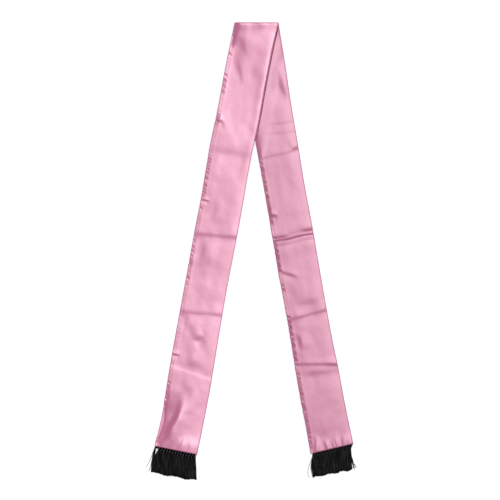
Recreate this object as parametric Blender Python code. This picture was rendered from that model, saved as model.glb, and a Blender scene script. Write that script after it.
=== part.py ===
"""Slim satin neck scarf with a fringe at each end, folded in half and laid flat as an inverted V.

The scarf is one satin tube, pressed flat, so each stretch is two plies that lie on each other. It is
folded at its middle. The upper stretch carries the turn at the top, lies over the top of the lower stretch
and comes down to the floor beside it. A fringe, a ribbed heading with loose strands, closes each end.

Each stretch has its own frame, in millimetres: x runs across it from its axis and v down it, both from the
middle of the fold. A place across the cloth itself is given by u, its distance from the middle line of the
pressed cloth, from -35 at the sewn edge to 35 at the folded edge.
"""

import math
import random
from bisect import bisect_right
from collections import namedtuple

import bmesh
import bpy
from mathutils import Vector
from mathutils.geometry import interpolate_bezier

MM = 0.001

# Satin tube
SCARF_WIDTH = 70.0
PLY_THICKNESS = 1.2
UPPER_LEAN = 10.64
LOWER_LEAN = 10.04
UPPER_LENGTH = 708.5
LOWER_LENGTH = 704.5
PIECE_GAP = 0.3

# Turn at the top, and the slope where the upper stretch leaves the lower one for the floor
TURN_DEPTH = 3.6
TURN_STEP = 0.1
SQUARING_LENGTH = 50.0
SLOPE_LENGTH = 15.0
SLOPE_CLEARANCE = 1.2
LIFT_MARGIN = 0.05

# Soft form of the top face
CROWN = 0.7
COVERED_MARGIN = 4.0
COVERED_FADE = 14.0
SEAM_RIDGE_INSET = 7.5
SEAM_RIDGE_HALF_WIDTH = 4.5
SEAM_RIDGE_HEIGHT = 0.35
TROUGH_DISTANCE = 10.0
TROUGH_HALF_WIDTH = 6.5
TROUGH_DEPTH = 0.5
PUCKER_REACH = 8.0
PUCKER_HALF_WIDTH = 4.0
PUCKER_INSET = 0.8

# Where sections go along a stretch
ROW_SPACING = 13.0
ROW_MINIMUM = 1.4
CREASE_SECTION_STEP = 0.6
TROUGH_SECTIONS = (-0.5, 0.0, 0.5, 1.0)
PUCKER_SECTION_STEP = 4.5

# Fringe
HEADING_LENGTH = 9.0
HEADING_INSET = 2.6
HEADING_THICKNESS = 2.1
HEADING_CHAMFER = 1.0
RIB_PITCH = 4.3
RIB_HEIGHT = 0.9
RIB_SLANT = 3.6
STRANDS_IN_A_LAYER = 50
STRAND_WIDTH = 0.9
STRAND_HEIGHT = 0.85
STRAND_FLOOR_GAP = 0.35
LAYER_GAP = 0.4
TIP_UNEVENNESS = 1.0
TIP_JITTER = 0.5
WANDER = 0.12
OPEN_LOOP_WIDTH = 3.0
OPEN_LOOP_TAPE = 2.2
OPEN_LOOP_ROOTS = 4
OPEN_LOOP_CLOSING = 4.4
OPEN_LOOP_REACH = 22.0

# Worked out from the sizes above
HALF_WIDTH = SCARF_WIDTH / 2
TUBE_THICKNESS = 2 * PLY_THICKNESS
FULL_LIFT = TUBE_THICKNESS + PIECE_GAP + LIFT_MARGIN
UPPER_ANGLE = math.radians(UPPER_LEAN)
LOWER_ANGLE = math.radians(LOWER_LEAN)
SPREAD_ANGLE = UPPER_ANGLE + LOWER_ANGLE
OPEN_LOOP_END = HEADING_INSET + OPEN_LOOP_WIDTH - HALF_WIDTH

# Outline of a section at its two edges: how far in, and how high as a share of the thickness. The sewn
# edge shows both plies with a groove between them. The other edge is the satin's own lengthwise fold.
EdgePoint = namedtuple("EdgePoint", "inset share")
SEWN_EDGE = (
    EdgePoint(inset=1.0, share=0.0),
    EdgePoint(inset=0.1, share=0.24),
    EdgePoint(inset=0.7, share=0.5),
    EdgePoint(inset=0.0, share=0.76),
    EdgePoint(inset=0.9, share=1.0),
)
FOLDED_EDGE = (
    EdgePoint(inset=0.9, share=1.0),
    EdgePoint(inset=0.0, share=0.5),
    EdgePoint(inset=0.9, share=0.0),
)

# How the two edges of a stretch lie, as x at places down it: the cloth is drawn in a little by its creases
# and bows to one side
EdgeRow = namedtuple("EdgeRow", "v sewn folded")
UPPER_EDGES = (
    EdgeRow(v=0.0, sewn=-35.1, folded=35.1),
    EdgeRow(v=30.0, sewn=-35.8, folded=33.4),
    EdgeRow(v=60.0, sewn=-36.3, folded=32.8),
    EdgeRow(v=100.0, sewn=-36.7, folded=32.6),
    EdgeRow(v=150.0, sewn=-36.4, folded=33.1),
    EdgeRow(v=210.0, sewn=-37.8, folded=31.8),
    EdgeRow(v=250.0, sewn=-37.2, folded=31.8),
    EdgeRow(v=300.0, sewn=-36.4, folded=32.5),
    EdgeRow(v=345.0, sewn=-36.8, folded=32.8),
    EdgeRow(v=430.0, sewn=-36.4, folded=32.4),
    EdgeRow(v=500.0, sewn=-36.1, folded=33.4),
    EdgeRow(v=550.0, sewn=-36.0, folded=34.6),
    EdgeRow(v=600.0, sewn=-35.2, folded=35.7),
    EdgeRow(v=640.0, sewn=-34.2, folded=35.6),
    EdgeRow(v=670.0, sewn=-34.3, folded=35.3),
    EdgeRow(v=700.0, sewn=-36.2, folded=34.7),
)
LOWER_EDGES = (
    EdgeRow(v=0.0, sewn=-35.1, folded=35.1),
    EdgeRow(v=25.0, sewn=-35.2, folded=34.5),
    EdgeRow(v=80.0, sewn=-35.6, folded=33.8),
    EdgeRow(v=120.0, sewn=-35.9, folded=32.5),
    EdgeRow(v=160.0, sewn=-36.0, folded=31.8),
    EdgeRow(v=210.0, sewn=-35.8, folded=31.5),
    EdgeRow(v=270.0, sewn=-35.6, folded=30.7),
    EdgeRow(v=350.0, sewn=-35.9, folded=31.4),
    EdgeRow(v=400.0, sewn=-36.4, folded=31.0),
    EdgeRow(v=460.0, sewn=-35.6, folded=30.8),
    EdgeRow(v=530.0, sewn=-36.1, folded=31.3),
    EdgeRow(v=575.0, sewn=-36.7, folded=32.8),
    EdgeRow(v=615.0, sewn=-36.9, folded=33.0),
    EdgeRow(v=655.0, sewn=-36.2, folded=33.8),
    EdgeRow(v=695.0, sewn=-36.0, folded=35.1),
)

# Lines along the stretch that carry the points of its top face, as u
TOP_LINES = (-31.0, -27.0, -22.0, -16.5, -11.0, -4.5, 3.0, 8.0, 13.0, 18.5, 25.0, 30.5)

# A crease runs from its start to its end. A positive depth is a trough and a negative one a ridge.
Crease = namedtuple("Crease", "x_start v_start x_end v_end half_width depth")

# Creases from edge to edge, each of which also places sections of its own along the stretch
UPPER_CROSS_CREASES = (
    Crease(-35, 216.0, 35, 215.0, 8.0, 0.55),
    Crease(-35, 300.0, -24, 300.0, 3.5, 0.70),
    Crease(-35, 352.6, 35, 346.4, 4.0, -0.50),
    Crease(-35, 357.6, 35, 351.4, 4.2, 1.05),
    Crease(-35, 485.0, 35, 478.6, 5.0, 0.85),
    Crease(-35, 555.0, -25, 556.0, 3.5, 0.70),
    Crease(-26, 575.5, 35, 585.0, 5.0, 0.65),
)
LOWER_CROSS_CREASES = (
    Crease(-20, 167.0, 35, 169.0, 5.0, 0.40),
    Crease(-25, 182.0, 35, 185.0, 5.0, 0.40),
    Crease(-35, 220.0, 35, 215.0, 5.0, 0.60),
    Crease(-35, 351.0, 35, 347.2, 3.6, 0.75),
    Crease(-35, 355.0, 35, 351.2, 3.4, -0.60),
    Crease(-35, 359.0, 35, 355.2, 3.8, 1.00),
    Crease(-35, 486.0, 35, 480.4, 5.0, 0.85),
    Crease(-35, 559.0, 20, 568.5, 4.5, 0.80),
    Crease(-30, 577.0, 35, 579.0, 5.5, 0.55),
)

# Softer folds that run down the stretch or across part of it
UPPER_SOFT_FOLDS = (
    Crease(-33, 14.0, -22, 44.0, 8.0, 0.80),
    Crease(-18, 76.0, -8, 99.0, 5.5, 0.60),
    Crease(-34, 170.0, -26, 168.0, 5.0, 0.80),
    Crease(-11, 300.0, -10, 330.0, 9.0, 0.60),
    Crease(-13, 368.0, -12, 397.0, 9.0, 0.70),
    Crease(-24, 492.0, -22, 508.0, 6.0, 0.60),
    Crease(-2, 528.0, 8, 514.0, 8.0, 0.65),
    Crease(-2, 566.0, 12, 567.0, 11.0, 0.60),
    Crease(-8, 636.0, -20, 688.0, 10.0, 1.20),
    Crease(-30, 612.0, -30, 700.0, 6.0, 0.70),
    Crease(8, 684.0, 8, 702.0, 4.5, 0.70),
    Crease(3, 696.0, 3, 712.0, 4.0, 0.70),
)
LOWER_SOFT_FOLDS = (
    Crease(21, 90.0, 18, 128.0, 7.5, 0.85),
    Crease(30, 92.0, 21, 100.0, 6.0, 0.55),
    Crease(21, 212.0, 27, 212.0, 5.0, 0.50),
    Crease(-31, 228.0, -31, 316.0, 5.5, 0.60),
    Crease(-31, 404.0, -11, 418.5, 5.5, 0.70),
    Crease(4, 456.0, 6, 474.0, 14.0, 0.45),
    Crease(-26, 516.0, -19, 530.0, 6.5, 0.70),
    Crease(16, 569.0, 34, 571.0, 6.0, 0.70),
    Crease(-27, 680.0, -27, 706.0, 5.0, 0.75),
    Crease(-11, 686.0, -11, 708.0, 5.0, 0.70),
    Crease(3, 690.0, 3, 708.0, 4.5, 0.70),
    Crease(8, 694.0, 8, 707.0, 4.5, 0.65),
    Crease(18.5, 686.0, 18.5, 706.0, 5.0, 0.65),
)

# Puckers that the sewing leaves along the seam: their places down the stretch, and their depth
Pucker = namedtuple("Pucker", "v depth")
UPPER_PUCKERS = (
    Pucker(v=58.0, depth=0.30),
    Pucker(v=101.0, depth=0.45),
    Pucker(v=110.0, depth=0.35),
    Pucker(v=120.0, depth=0.45),
    Pucker(v=168.0, depth=0.60),
    Pucker(v=236.0, depth=0.45),
    Pucker(v=248.0, depth=0.35),
    Pucker(v=263.0, depth=0.40),
    Pucker(v=281.0, depth=0.35),
    Pucker(v=313.0, depth=0.35),
    Pucker(v=404.0, depth=0.30),
    Pucker(v=428.0, depth=0.35),
    Pucker(v=601.0, depth=0.40),
    Pucker(v=622.0, depth=0.50),
    Pucker(v=640.0, depth=0.45),
    Pucker(v=661.0, depth=0.50),
    Pucker(v=684.0, depth=0.50),
)
LOWER_PUCKERS = (
    Pucker(v=236.0, depth=0.35),
    Pucker(v=257.0, depth=0.40),
    Pucker(v=279.0, depth=0.35),
    Pucker(v=297.0, depth=0.40),
    Pucker(v=313.0, depth=0.60),
    Pucker(v=323.0, depth=0.50),
    Pucker(v=370.0, depth=0.45),
    Pucker(v=380.0, depth=0.50),
    Pucker(v=391.0, depth=0.50),
    Pucker(v=402.0, depth=0.55),
    Pucker(v=435.0, depth=0.50),
    Pucker(v=498.0, depth=0.50),
    Pucker(v=510.0, depth=0.45),
    Pucker(v=524.0, depth=0.50),
    Pucker(v=541.0, depth=0.50),
    Pucker(v=606.0, depth=0.35),
    Pucker(v=633.0, depth=0.35),
    Pucker(v=661.0, depth=0.40),
)

# A section across the stretch: where it lies at the sewn edge and at the folded edge. One in the turn also
# has its angle round the fold, from the outermost line to where the turn meets the floor.
Section = namedtuple("Section", "v_sewn v_folded turn_angle", defaults=(None,))
TURN_ANGLES = (15.0, 40.0, 65.0, 90.0)

# One stretch of the tube, with the v of its end at the two edges and the sign of its lean
Stretch = namedtuple(
    "Stretch", "angle side start v_end_sewn v_end_folded edges cross_creases soft_folds puckers"
)
UPPER = Stretch(
    angle=UPPER_ANGLE,
    side=-1,
    start=TURN_DEPTH + TURN_STEP,
    v_end_sewn=UPPER_LENGTH - 0.5,
    v_end_folded=UPPER_LENGTH + 0.5,
    edges=UPPER_EDGES,
    cross_creases=UPPER_CROSS_CREASES,
    soft_folds=UPPER_SOFT_FOLDS,
    puckers=UPPER_PUCKERS,
)
LOWER = Stretch(
    angle=LOWER_ANGLE,
    side=1,
    start=TURN_DEPTH + TURN_STEP + PIECE_GAP,
    v_end_sewn=LOWER_LENGTH + 2.0,
    v_end_folded=LOWER_LENGTH - 2.0,
    edges=LOWER_EDGES,
    cross_creases=LOWER_CROSS_CREASES,
    soft_folds=LOWER_SOFT_FOLDS,
    puckers=LOWER_PUCKERS,
)

# Corners of the heading's ring above the roots of each layer of strands. The next corner is below the root.
ROOT_CORNERS = (5, 4)

# Stations down a strand, as shares of its length below the heading
STRAND_STATIONS = (0.35, 0.7, 1.0)

# Strands that leave the others, by layer and place in it: the two points towards which the strand bows, and
# its tip, each as x and the distance past the seam
Stray = namedtuple("Stray", "layer place x_bow past_bow x_turn past_turn x_tip past_tip")
STRAY_STATIONS = 6
UPPER_STRAYS = (
    Stray(0, 0, -38.5, 12.0, -37.0, 22.0, -43.6, 37.5),
    Stray(1, 0, -38.5, 13.0, -34.0, 30.0, -38.3, 42.3),
    Stray(0, 1, -37.5, 11.0, -34.5, 28.0, -32.4, 41.5),
    Stray(1, 1, -36.8, 12.0, -33.5, 29.0, -31.6, 42.0),
)
LOWER_STRAYS = (
    Stray(0, 0, -41.0, 16.0, -51.0, 32.0, -43.6, 37.5),
    Stray(1, STRANDS_IN_A_LAYER - 1, 28.5, 18.0, 27.5, 32.0, 32.8, 39.2),
)

# One end's fringe. The heading shifts sideways from the seam to its own end, and the strands drift further
# and spread, by the given shares of the drift at the stations. Their lengths from the seam are given at
# the sewn and the folded edge. An open loop leaves the heading's first stretch bare but for its tape.
Fringe = namedtuple(
    "Fringe",
    "stretch heading_shift drift drift_shares spread length_sewn length_folded open_loop strays waves seed",
)
UPPER_FRINGE = Fringe(
    stretch=UPPER,
    heading_shift=1.0,
    drift=5.4,
    drift_shares=(0.33, 0.68, 1.0),
    spread=1.12,
    length_sewn=41.6,
    length_folded=40.0,
    open_loop=True,
    strays=UPPER_STRAYS,
    waves=2.5,
    seed=3,
)
LOWER_FRINGE = Fringe(
    stretch=LOWER,
    heading_shift=-2.6,
    drift=-6.0,
    drift_shares=(0.75, 1.0, 0.97),
    spread=1.01,
    length_sewn=38.0,
    length_folded=40.5,
    open_loop=False,
    strays=LOWER_STRAYS,
    waves=3.5,
    seed=8,
)

Finish = namedtuple("Finish", "name colour roughness")
SATIN = Finish(name="pink_satin", colour=(0.80, 0.38, 0.50, 1.0), roughness=0.38)
CORD = Finish(name="black_fringe_cord", colour=(0.012, 0.012, 0.013, 1.0), roughness=0.8)


def smoothstep(x):
    """Rise smoothly from 0 to 1 as x goes from 0 to 1."""
    x = min(max(x, 0.0), 1.0)
    return x * x * (3.0 - 2.0 * x)


def bump(x):
    """A soft rounded bump of height 1 at x = 0 that ends at x = 1."""
    return (1.0 - x * x) ** 2 if abs(x) < 1.0 else 0.0


def mix(a, b, share):
    """The value that lies the given share of the way from a to b."""
    return a + (b - a) * share


def edge_at(stretch, v, name):
    """Where the sewn or the folded edge lies at v, on a smooth curve through the rows of its table."""
    rows = stretch.edges
    index = bisect_right(rows, v, key=lambda row: row.v) - 1
    index = min(max(index, 0), len(rows) - 2)
    first, second = rows[index], rows[index + 1]
    before, after = rows[max(index - 1, 0)], rows[min(index + 2, len(rows) - 1)]
    start, end = getattr(first, name), getattr(second, name)
    run = second.v - first.v
    slope_start = (end - getattr(before, name)) / (second.v - before.v)
    slope_end = (getattr(after, name) - start) / (after.v - first.v)
    t = min(max((v - first.v) / run, 0.0), 1.0)
    bend = run * t * (1.0 - t) * ((1.0 - t) * slope_start - t * slope_end)
    return mix(start, end, smoothstep(t)) + bend


def place_of(stretch, u, v):
    """The x of the cloth's line u at v."""
    return mix(edge_at(stretch, v, "sewn"), edge_at(stretch, v, "folded"), u / SCARF_WIDTH + 0.5)


def line_at(stretch, x, v):
    """The cloth's line u that lies at x, at v."""
    sewn = edge_at(stretch, v, "sewn")
    folded = edge_at(stretch, v, "folded")
    return SCARF_WIDTH * ((x - sewn) / (folded - sewn) - 0.5)


def crease_form(crease, x, v):
    """Height that one crease or soft fold adds at (x, v)."""
    run_x = crease.x_end - crease.x_start
    run_v = crease.v_end - crease.v_start
    length = math.hypot(run_x, run_v)
    along = ((x - crease.x_start) * run_x + (v - crease.v_start) * run_v) / length
    across = ((x - crease.x_start) * run_v - (v - crease.v_start) * run_x) / length
    past_end = max(-along, along - length, 0.0)
    return -crease.depth * bump(math.hypot(across, past_end) / crease.half_width)


def pucker_form(stretch, u, v):
    """Height that the seam's puckers add at (u, v)."""
    from_edge = u + HALF_WIDTH
    if from_edge > PUCKER_REACH:
        return 0.0
    reach = 1.0 - smoothstep(from_edge / PUCKER_REACH)
    return -sum(p.depth * bump((v - p.v) / PUCKER_HALF_WIDTH) for p in stretch.puckers) * reach


def pucker_inset(stretch, v):
    """How far the sewn edge is drawn in by a pucker at v."""
    return PUCKER_INSET * sum(p.depth * bump((v - p.v) / PUCKER_HALF_WIDTH) for p in stretch.puckers)


def fold_trough(stretch, x, v):
    """Height that the shallow trough below the fold adds at (x, v). It runs parallel to the fold."""
    from_fold = v * math.cos(stretch.angle) - stretch.side * x * math.sin(stretch.angle)
    return -TROUGH_DEPTH * bump((from_fold - TROUGH_DISTANCE) / TROUGH_HALF_WIDTH)


def relief(stretch, u, v):
    """Height of the top face over the plain thickness at (u, v)."""
    x = place_of(stretch, u, v)
    crown = CROWN * (1.0 - (u / HALF_WIDTH) ** 4)
    seam_line = SEAM_RIDGE_INSET - HALF_WIDTH
    ridge = SEAM_RIDGE_HEIGHT * bump((u - seam_line) / SEAM_RIDGE_HALF_WIDTH)
    creases = sum(crease_form(c, x, v) for c in stretch.cross_creases + stretch.soft_folds)
    return crown + ridge + creases + fold_trough(stretch, x, v) + pucker_form(stretch, u, v)


def uncovered(x, v):
    """0 where the lower stretch lies under the upper one, rising to 1 in the open, at its (x, v)."""
    upper_x = x * math.cos(SPREAD_ANGLE) + v * math.sin(SPREAD_ANGLE)
    upper_v = v * math.cos(SPREAD_ANGLE) - x * math.sin(SPREAD_ANGLE)
    past_edge = upper_x - edge_at(UPPER, upper_v, "folded")
    return smoothstep((past_edge - COVERED_MARGIN) / COVERED_FADE)


def lift(x, v):
    """Height of the upper stretch's underside over the floor at its (x, v)."""
    lower_x = x * math.cos(SPREAD_ANGLE) - v * math.sin(SPREAD_ANGLE)
    lower_v = v * math.cos(SPREAD_ANGLE) + x * math.sin(SPREAD_ANGLE)
    over_lower = lower_x - edge_at(LOWER, lower_v, "sewn")
    return FULL_LIFT * smoothstep((over_lower + SLOPE_CLEARANCE + SLOPE_LENGTH) / SLOPE_LENGTH)


def v_across(stretch, section, u):
    """Place of a section down the stretch at u. Near the fold it turns parallel to the fold line."""
    v = mix(section.v_sewn, section.v_folded, (u + HALF_WIDTH) / SCARF_WIDTH)
    squared = smoothstep(v / SQUARING_LENGTH)
    return v + stretch.side * u * math.tan(stretch.angle) * (1.0 - squared)


def underside(stretch, section, u, v):
    """Height of the underside at (u, v)."""
    if stretch is LOWER:
        return 0.0
    if section.turn_angle is not None:
        return turn_middle(u) * (1.0 - math.sin(section.turn_angle))
    return lift(place_of(stretch, u, v), v)


def top_face(stretch, section, u, v):
    """Height of the top face at (u, v)."""
    if stretch is LOWER:
        return TUBE_THICKNESS + relief(stretch, u, v) * uncovered(place_of(stretch, u, v), v)
    if section.turn_angle is not None:
        return turn_middle(u) * (1.0 + math.sin(section.turn_angle))
    return lift(place_of(stretch, u, v), v) + TUBE_THICKNESS + relief(stretch, u, v)


def turn_middle(u):
    """Half the height of the turn at u, where the turn runs out into the top face."""
    v = v_across(UPPER, Section(TURN_DEPTH, TURN_DEPTH), u)
    return (FULL_LIFT + TUBE_THICKNESS + relief(UPPER, u, v)) / 2


def turn_sections():
    """Sections round the turn at the fold, from its outermost line."""
    angles = [math.radians(angle) for angle in TURN_ANGLES]
    depths = [TURN_DEPTH * (1.0 - math.cos(angle)) for angle in angles]
    return [Section(depth, depth, angle) for depth, angle in zip(depths, angles)]


def slope_lines(stretch, section):
    """The u of the underside's lines at the foot, middle and top of the slope off the lower stretch."""
    if stretch is LOWER:
        return []
    inner = HALF_WIDTH - 2.0
    lines = []
    for step, share in enumerate((1.0, 0.5, 0.0)):
        distance = SLOPE_CLEARANCE + SLOPE_LENGTH * share
        u = 0.0
        for _ in range(3):
            v = v_across(stretch, section, u)
            lower_x = edge_at(LOWER, v, "sewn") - distance
            x = (v * math.sin(SPREAD_ANGLE) + lower_x) / math.cos(SPREAD_ANGLE)
            u = min(max(line_at(stretch, x, v), -inner), inner)
        spread = step - 1.0
        lines.append(min(max(u, -inner + 1.0 + spread), inner - 1.0 + spread))
    return lines


def section_ring(stretch, section):
    """Points round one section, from the sewn edge over the top face to the folded edge and back under."""
    ring = []

    def add(u, share):
        v = v_across(stretch, section, u)
        low = underside(stretch, section, u, v)
        high = top_face(stretch, section, u, v)
        ring.append(Vector((place_of(stretch, u, v), -v, mix(low, high, share))))

    drawn_in = pucker_inset(stretch, section.v_sewn)
    for point in SEWN_EDGE:
        add(-HALF_WIDTH + point.inset + drawn_in, point.share)
    for u in TOP_LINES:
        add(u, 1.0)
    for point in FOLDED_EDGE:
        add(HALF_WIDTH - point.inset, point.share)
    for u in reversed(slope_lines(stretch, section)):
        add(u, 0.0)
    return ring


def crease_sections(crease):
    """Sections before, on and after a crease that crosses the stretch, in line with it."""
    slant = (crease.v_end - crease.v_start) / (crease.x_end - crease.x_start)
    v_sewn = crease.v_start + slant * (-HALF_WIDTH - crease.x_start)
    v_folded = crease.v_start + slant * (HALF_WIDTH - crease.x_start)
    reach = CREASE_SECTION_STEP * crease.half_width
    return [Section(v_sewn + step, v_folded + step) for step in (-reach, 0.0, reach)]


def fits_between(section, others):
    """Whether a section keeps its distance from all the others and crosses none."""
    for other in others:
        sewn = section.v_sewn - other.v_sewn
        folded = section.v_folded - other.v_folded
        if min(abs(sewn), abs(folded)) < ROW_MINIMUM or sewn * folded < 0.0:
            return False
    return True


def stretch_sections(stretch):
    """All sections of a stretch, from the fold to the fringe."""
    trough_lines = [TROUGH_DISTANCE + TROUGH_HALF_WIDTH * share for share in TROUGH_SECTIONS]
    placed = [Section(line, line) for line in trough_lines]
    placed += [section for crease in stretch.cross_creases for section in crease_sections(crease)]
    placed += [Section(pucker.v, pucker.v) for pucker in stretch.puckers]
    for pucker in stretch.puckers:
        placed.append(Section(pucker.v - PUCKER_SECTION_STEP, pucker.v - PUCKER_SECTION_STEP))
        placed.append(Section(pucker.v + PUCKER_SECTION_STEP, pucker.v + PUCKER_SECTION_STEP))
    fixed = [Section(stretch.start, stretch.start), Section(stretch.v_end_sewn, stretch.v_end_folded)]
    for section in placed:
        if fits_between(section, fixed):
            fixed.append(section)
    fixed.sort(key=lambda section: section.v_sewn)
    sections = turn_sections() if stretch is UPPER else []
    sections.append(fixed[0])
    for last, section in zip(fixed, fixed[1:]):
        run = max(section.v_sewn - last.v_sewn, section.v_folded - last.v_folded)
        count = math.ceil(run / ROW_SPACING)
        for step in range(1, count + 1):
            v_sewn = mix(last.v_sewn, section.v_sewn, step / count)
            sections.append(Section(v_sewn, mix(last.v_folded, section.v_folded, step / count)))
    return sections


def loft(bm, rings):
    """Join rings of equal count into one closed skin with a face at each end."""
    loops = [[bm.verts.new(point * MM) for point in ring] for ring in rings]
    count = len(loops[0])
    for first, second in zip(loops, loops[1:]):
        for i in range(count):
            j = (i + 1) % count
            bm.faces.new((first[i], first[j], second[j], second[i]))
    bm.faces.new(reversed(loops[0]))
    bm.faces.new(loops[-1])


def make_material(finish):
    """The plain material of one finish."""
    material = bpy.data.materials.new(finish.name)
    material.use_nodes = True
    shader = material.node_tree.nodes["Principled BSDF"]
    shader.inputs["Base Color"].default_value = finish.colour
    shader.inputs["Roughness"].default_value = finish.roughness
    shader.inputs["Metallic"].default_value = 0.0
    material.diffuse_color = finish.colour
    return material


def finish_object(name, bm, finish, stretch, fold):
    """Turn a bmesh into a named object that lies in its stretch's frame."""
    bmesh.ops.recalc_face_normals(bm, faces=bm.faces)
    mesh = bpy.data.meshes.new(name)
    bm.to_mesh(mesh)
    bm.free()
    mesh.materials.append(make_material(finish))
    piece = bpy.data.objects.new(name, mesh)
    bpy.context.scene.collection.objects.link(piece)
    piece.parent = fold
    piece.rotation_euler.z = stretch.side * stretch.angle
    mesh.shade_smooth()
    mesh.set_sharp_from_angle(angle=math.radians(40.0))
    return piece


def make_satin(name, stretch, fold):
    """One stretch of the flattened satin tube."""
    bm = bmesh.new()
    loft(bm, [section_ring(stretch, section) for section in stretch_sections(stretch)])
    return finish_object(name, bm, SATIN, stretch, fold)


def seam_v(stretch, x):
    """Place of the fringe seam down the stretch at x."""
    return mix(stretch.v_end_sewn, stretch.v_end_folded, (x + HALF_WIDTH) / SCARF_WIDTH)


def heading_end(fringe, line):
    """How far the heading reaches past the seam. An open first loop leaves only its narrow tape."""
    return OPEN_LOOP_TAPE if fringe.open_loop and line < OPEN_LOOP_END else HEADING_LENGTH


def rib_height(line, past_seam):
    """Height of the heading's slanted ribs on a line, at a distance past the seam."""
    turn = (line + RIB_SLANT * past_seam / HEADING_LENGTH) / RIB_PITCH
    return RIB_HEIGHT * math.sqrt(abs(math.sin(math.pi * turn)))


def fringe_point(fringe, x, past_seam, z):
    """A point of the fringe from its distance past the seam."""
    return Vector((x, -seam_v(fringe.stretch, x) - past_seam, z)) * MM


def heading_ring(bm, fringe, line):
    """Corners round the heading on one line: over its top, down the face with the roots, and under."""
    start = PIECE_GAP
    end = heading_end(fringe, line)
    middle = STRAND_FLOOR_GAP + STRAND_HEIGHT + LAYER_GAP / 2
    crest = mix(start, end, 0.15)
    toe = mix(start, end, 0.8)
    outline = (
        (start, 0.0),
        (start, HEADING_THICKNESS),
        (crest, HEADING_THICKNESS + rib_height(line, crest)),
        (toe, HEADING_THICKNESS + rib_height(line, toe)),
        (end, HEADING_THICKNESS),
        (end, middle),
        (end, STRAND_FLOOR_GAP),
        (end - HEADING_CHAMFER, 0.0),
    )
    ring = []
    for past_seam, z in outline:
        x = line + fringe.heading_shift * past_seam / HEADING_LENGTH
        ring.append(bm.verts.new(fringe_point(fringe, x, past_seam, z)))
    return ring


def stray_route(stray, root_x, root_past):
    """Points of a strand that bows away from the others, below its root."""
    root = Vector((root_x, root_past))
    bow = Vector((stray.x_bow, stray.past_bow))
    turn = Vector((stray.x_turn, stray.past_turn))
    tip = Vector((stray.x_tip, stray.past_tip))
    return interpolate_bezier(root, bow, turn, tip, STRAY_STATIONS + 1)[1:]


def strand_route(fringe, line, rng):
    """Points of one strand below its root, as (x, distance past the seam)."""
    wave = TIP_UNEVENNESS * math.sin(math.tau * fringe.waves * line / SCARF_WIDTH + fringe.seed)
    length = mix(fringe.length_sewn, fringe.length_folded, (line + HALF_WIDTH) / SCARF_WIDTH)
    length += wave + rng.uniform(-TIP_JITTER, TIP_JITTER)
    root_x = line + fringe.heading_shift
    tip_x = line * fringe.spread + fringe.drift + rng.uniform(-WANDER, WANDER)
    if fringe.open_loop:
        tip_x -= OPEN_LOOP_CLOSING * (1.0 - smoothstep((line - OPEN_LOOP_END) / OPEN_LOOP_REACH))
    route = []
    for station, drift_share in zip(STRAND_STATIONS, fringe.drift_shares):
        route.append((mix(root_x, tip_x, drift_share), mix(HEADING_LENGTH, length, station)))
    return route


def add_strand(bm, fringe, root, route, layer):
    """Draw one strand of three sides out of the four corners of its root on the heading."""
    low = STRAND_FLOOR_GAP + layer * (STRAND_HEIGHT + LAYER_GAP)
    half = STRAND_WIDTH / 2
    last = None
    for x, past_seam in route:
        left = bm.verts.new(fringe_point(fringe, x - half, past_seam, low))
        right = bm.verts.new(fringe_point(fringe, x + half, past_seam, low))
        top = bm.verts.new(fringe_point(fringe, x, past_seam, low + STRAND_HEIGHT))
        corners = (left, right, top)
        if last is None:
            left_low, right_low, right_high, left_high = root
            bm.faces.new((left_low, right_low, right, left))
            bm.faces.new((right_low, right_high, top, right))
            bm.faces.new((right_high, left_high, top))
            bm.faces.new((left_high, left_low, left, top))
        else:
            for i in range(3):
                j = (i + 1) % 3
                bm.faces.new((last[i], last[j], corners[j], corners[i]))
        last = corners
    bm.faces.new(last)


def cell_route(fringe, cell, lines, rng):
    """Layer and route of the strand that starts from a cell of the heading. No strand has route None."""
    layer = cell % 2
    ends = [heading_end(fringe, line) for line in lines[cell:cell + 2]]
    if min(ends) < HEADING_LENGTH and cell >= OPEN_LOOP_ROOTS:
        return layer, None
    line = (lines[cell] + lines[cell + 1]) / 2
    for stray in fringe.strays:
        if (stray.layer, stray.place) == (layer, cell // 2):
            root_x = line + fringe.heading_shift * ends[0] / HEADING_LENGTH
            return layer, stray_route(stray, root_x, ends[0])
    return layer, strand_route(fringe, line, rng)


def make_fringe(name, fringe, fold):
    """The heading with its ribs, and the strands that hang from it in two layers, turn about."""
    rng = random.Random(fringe.seed)
    bm = bmesh.new()
    cells = 2 * STRANDS_IN_A_LAYER
    half_heading = HALF_WIDTH - HEADING_INSET
    lines = [mix(-half_heading, half_heading, i / cells) for i in range(cells + 1)]
    rings = [heading_ring(bm, fringe, line) for line in lines]
    count = len(rings[0])
    for cell in range(cells):
        first = rings[cell]
        second = rings[cell + 1]
        layer, route = cell_route(fringe, cell, lines, rng)
        for i in range(count):
            j = (i + 1) % count
            if route and i == ROOT_CORNERS[layer]:
                add_strand(bm, fringe, (first[j], second[j], second[i], first[i]), route, layer)
            else:
                bm.faces.new((first[i], first[j], second[j], second[i]))
    bm.faces.new(reversed(rings[0]))
    bm.faces.new(rings[-1])
    return finish_object(name, bm, CORD, fringe.stretch, fold)


def clear_scene():
    """Remove what the file held before."""
    for item in list(bpy.data.objects):
        bpy.data.objects.remove(item, do_unlink=True)


def centre_on_floor(pieces, fold):
    """Move the fold so that the scarf's box stands centred over the origin."""
    bpy.context.view_layer.update()
    corners = [piece.matrix_world @ vertex.co for piece in pieces for vertex in piece.data.vertices]
    fold.location.x = -(min(c.x for c in corners) + max(c.x for c in corners)) / 2
    fold.location.y = -(min(c.y for c in corners) + max(c.y for c in corners)) / 2
    bpy.context.view_layer.update()


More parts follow.
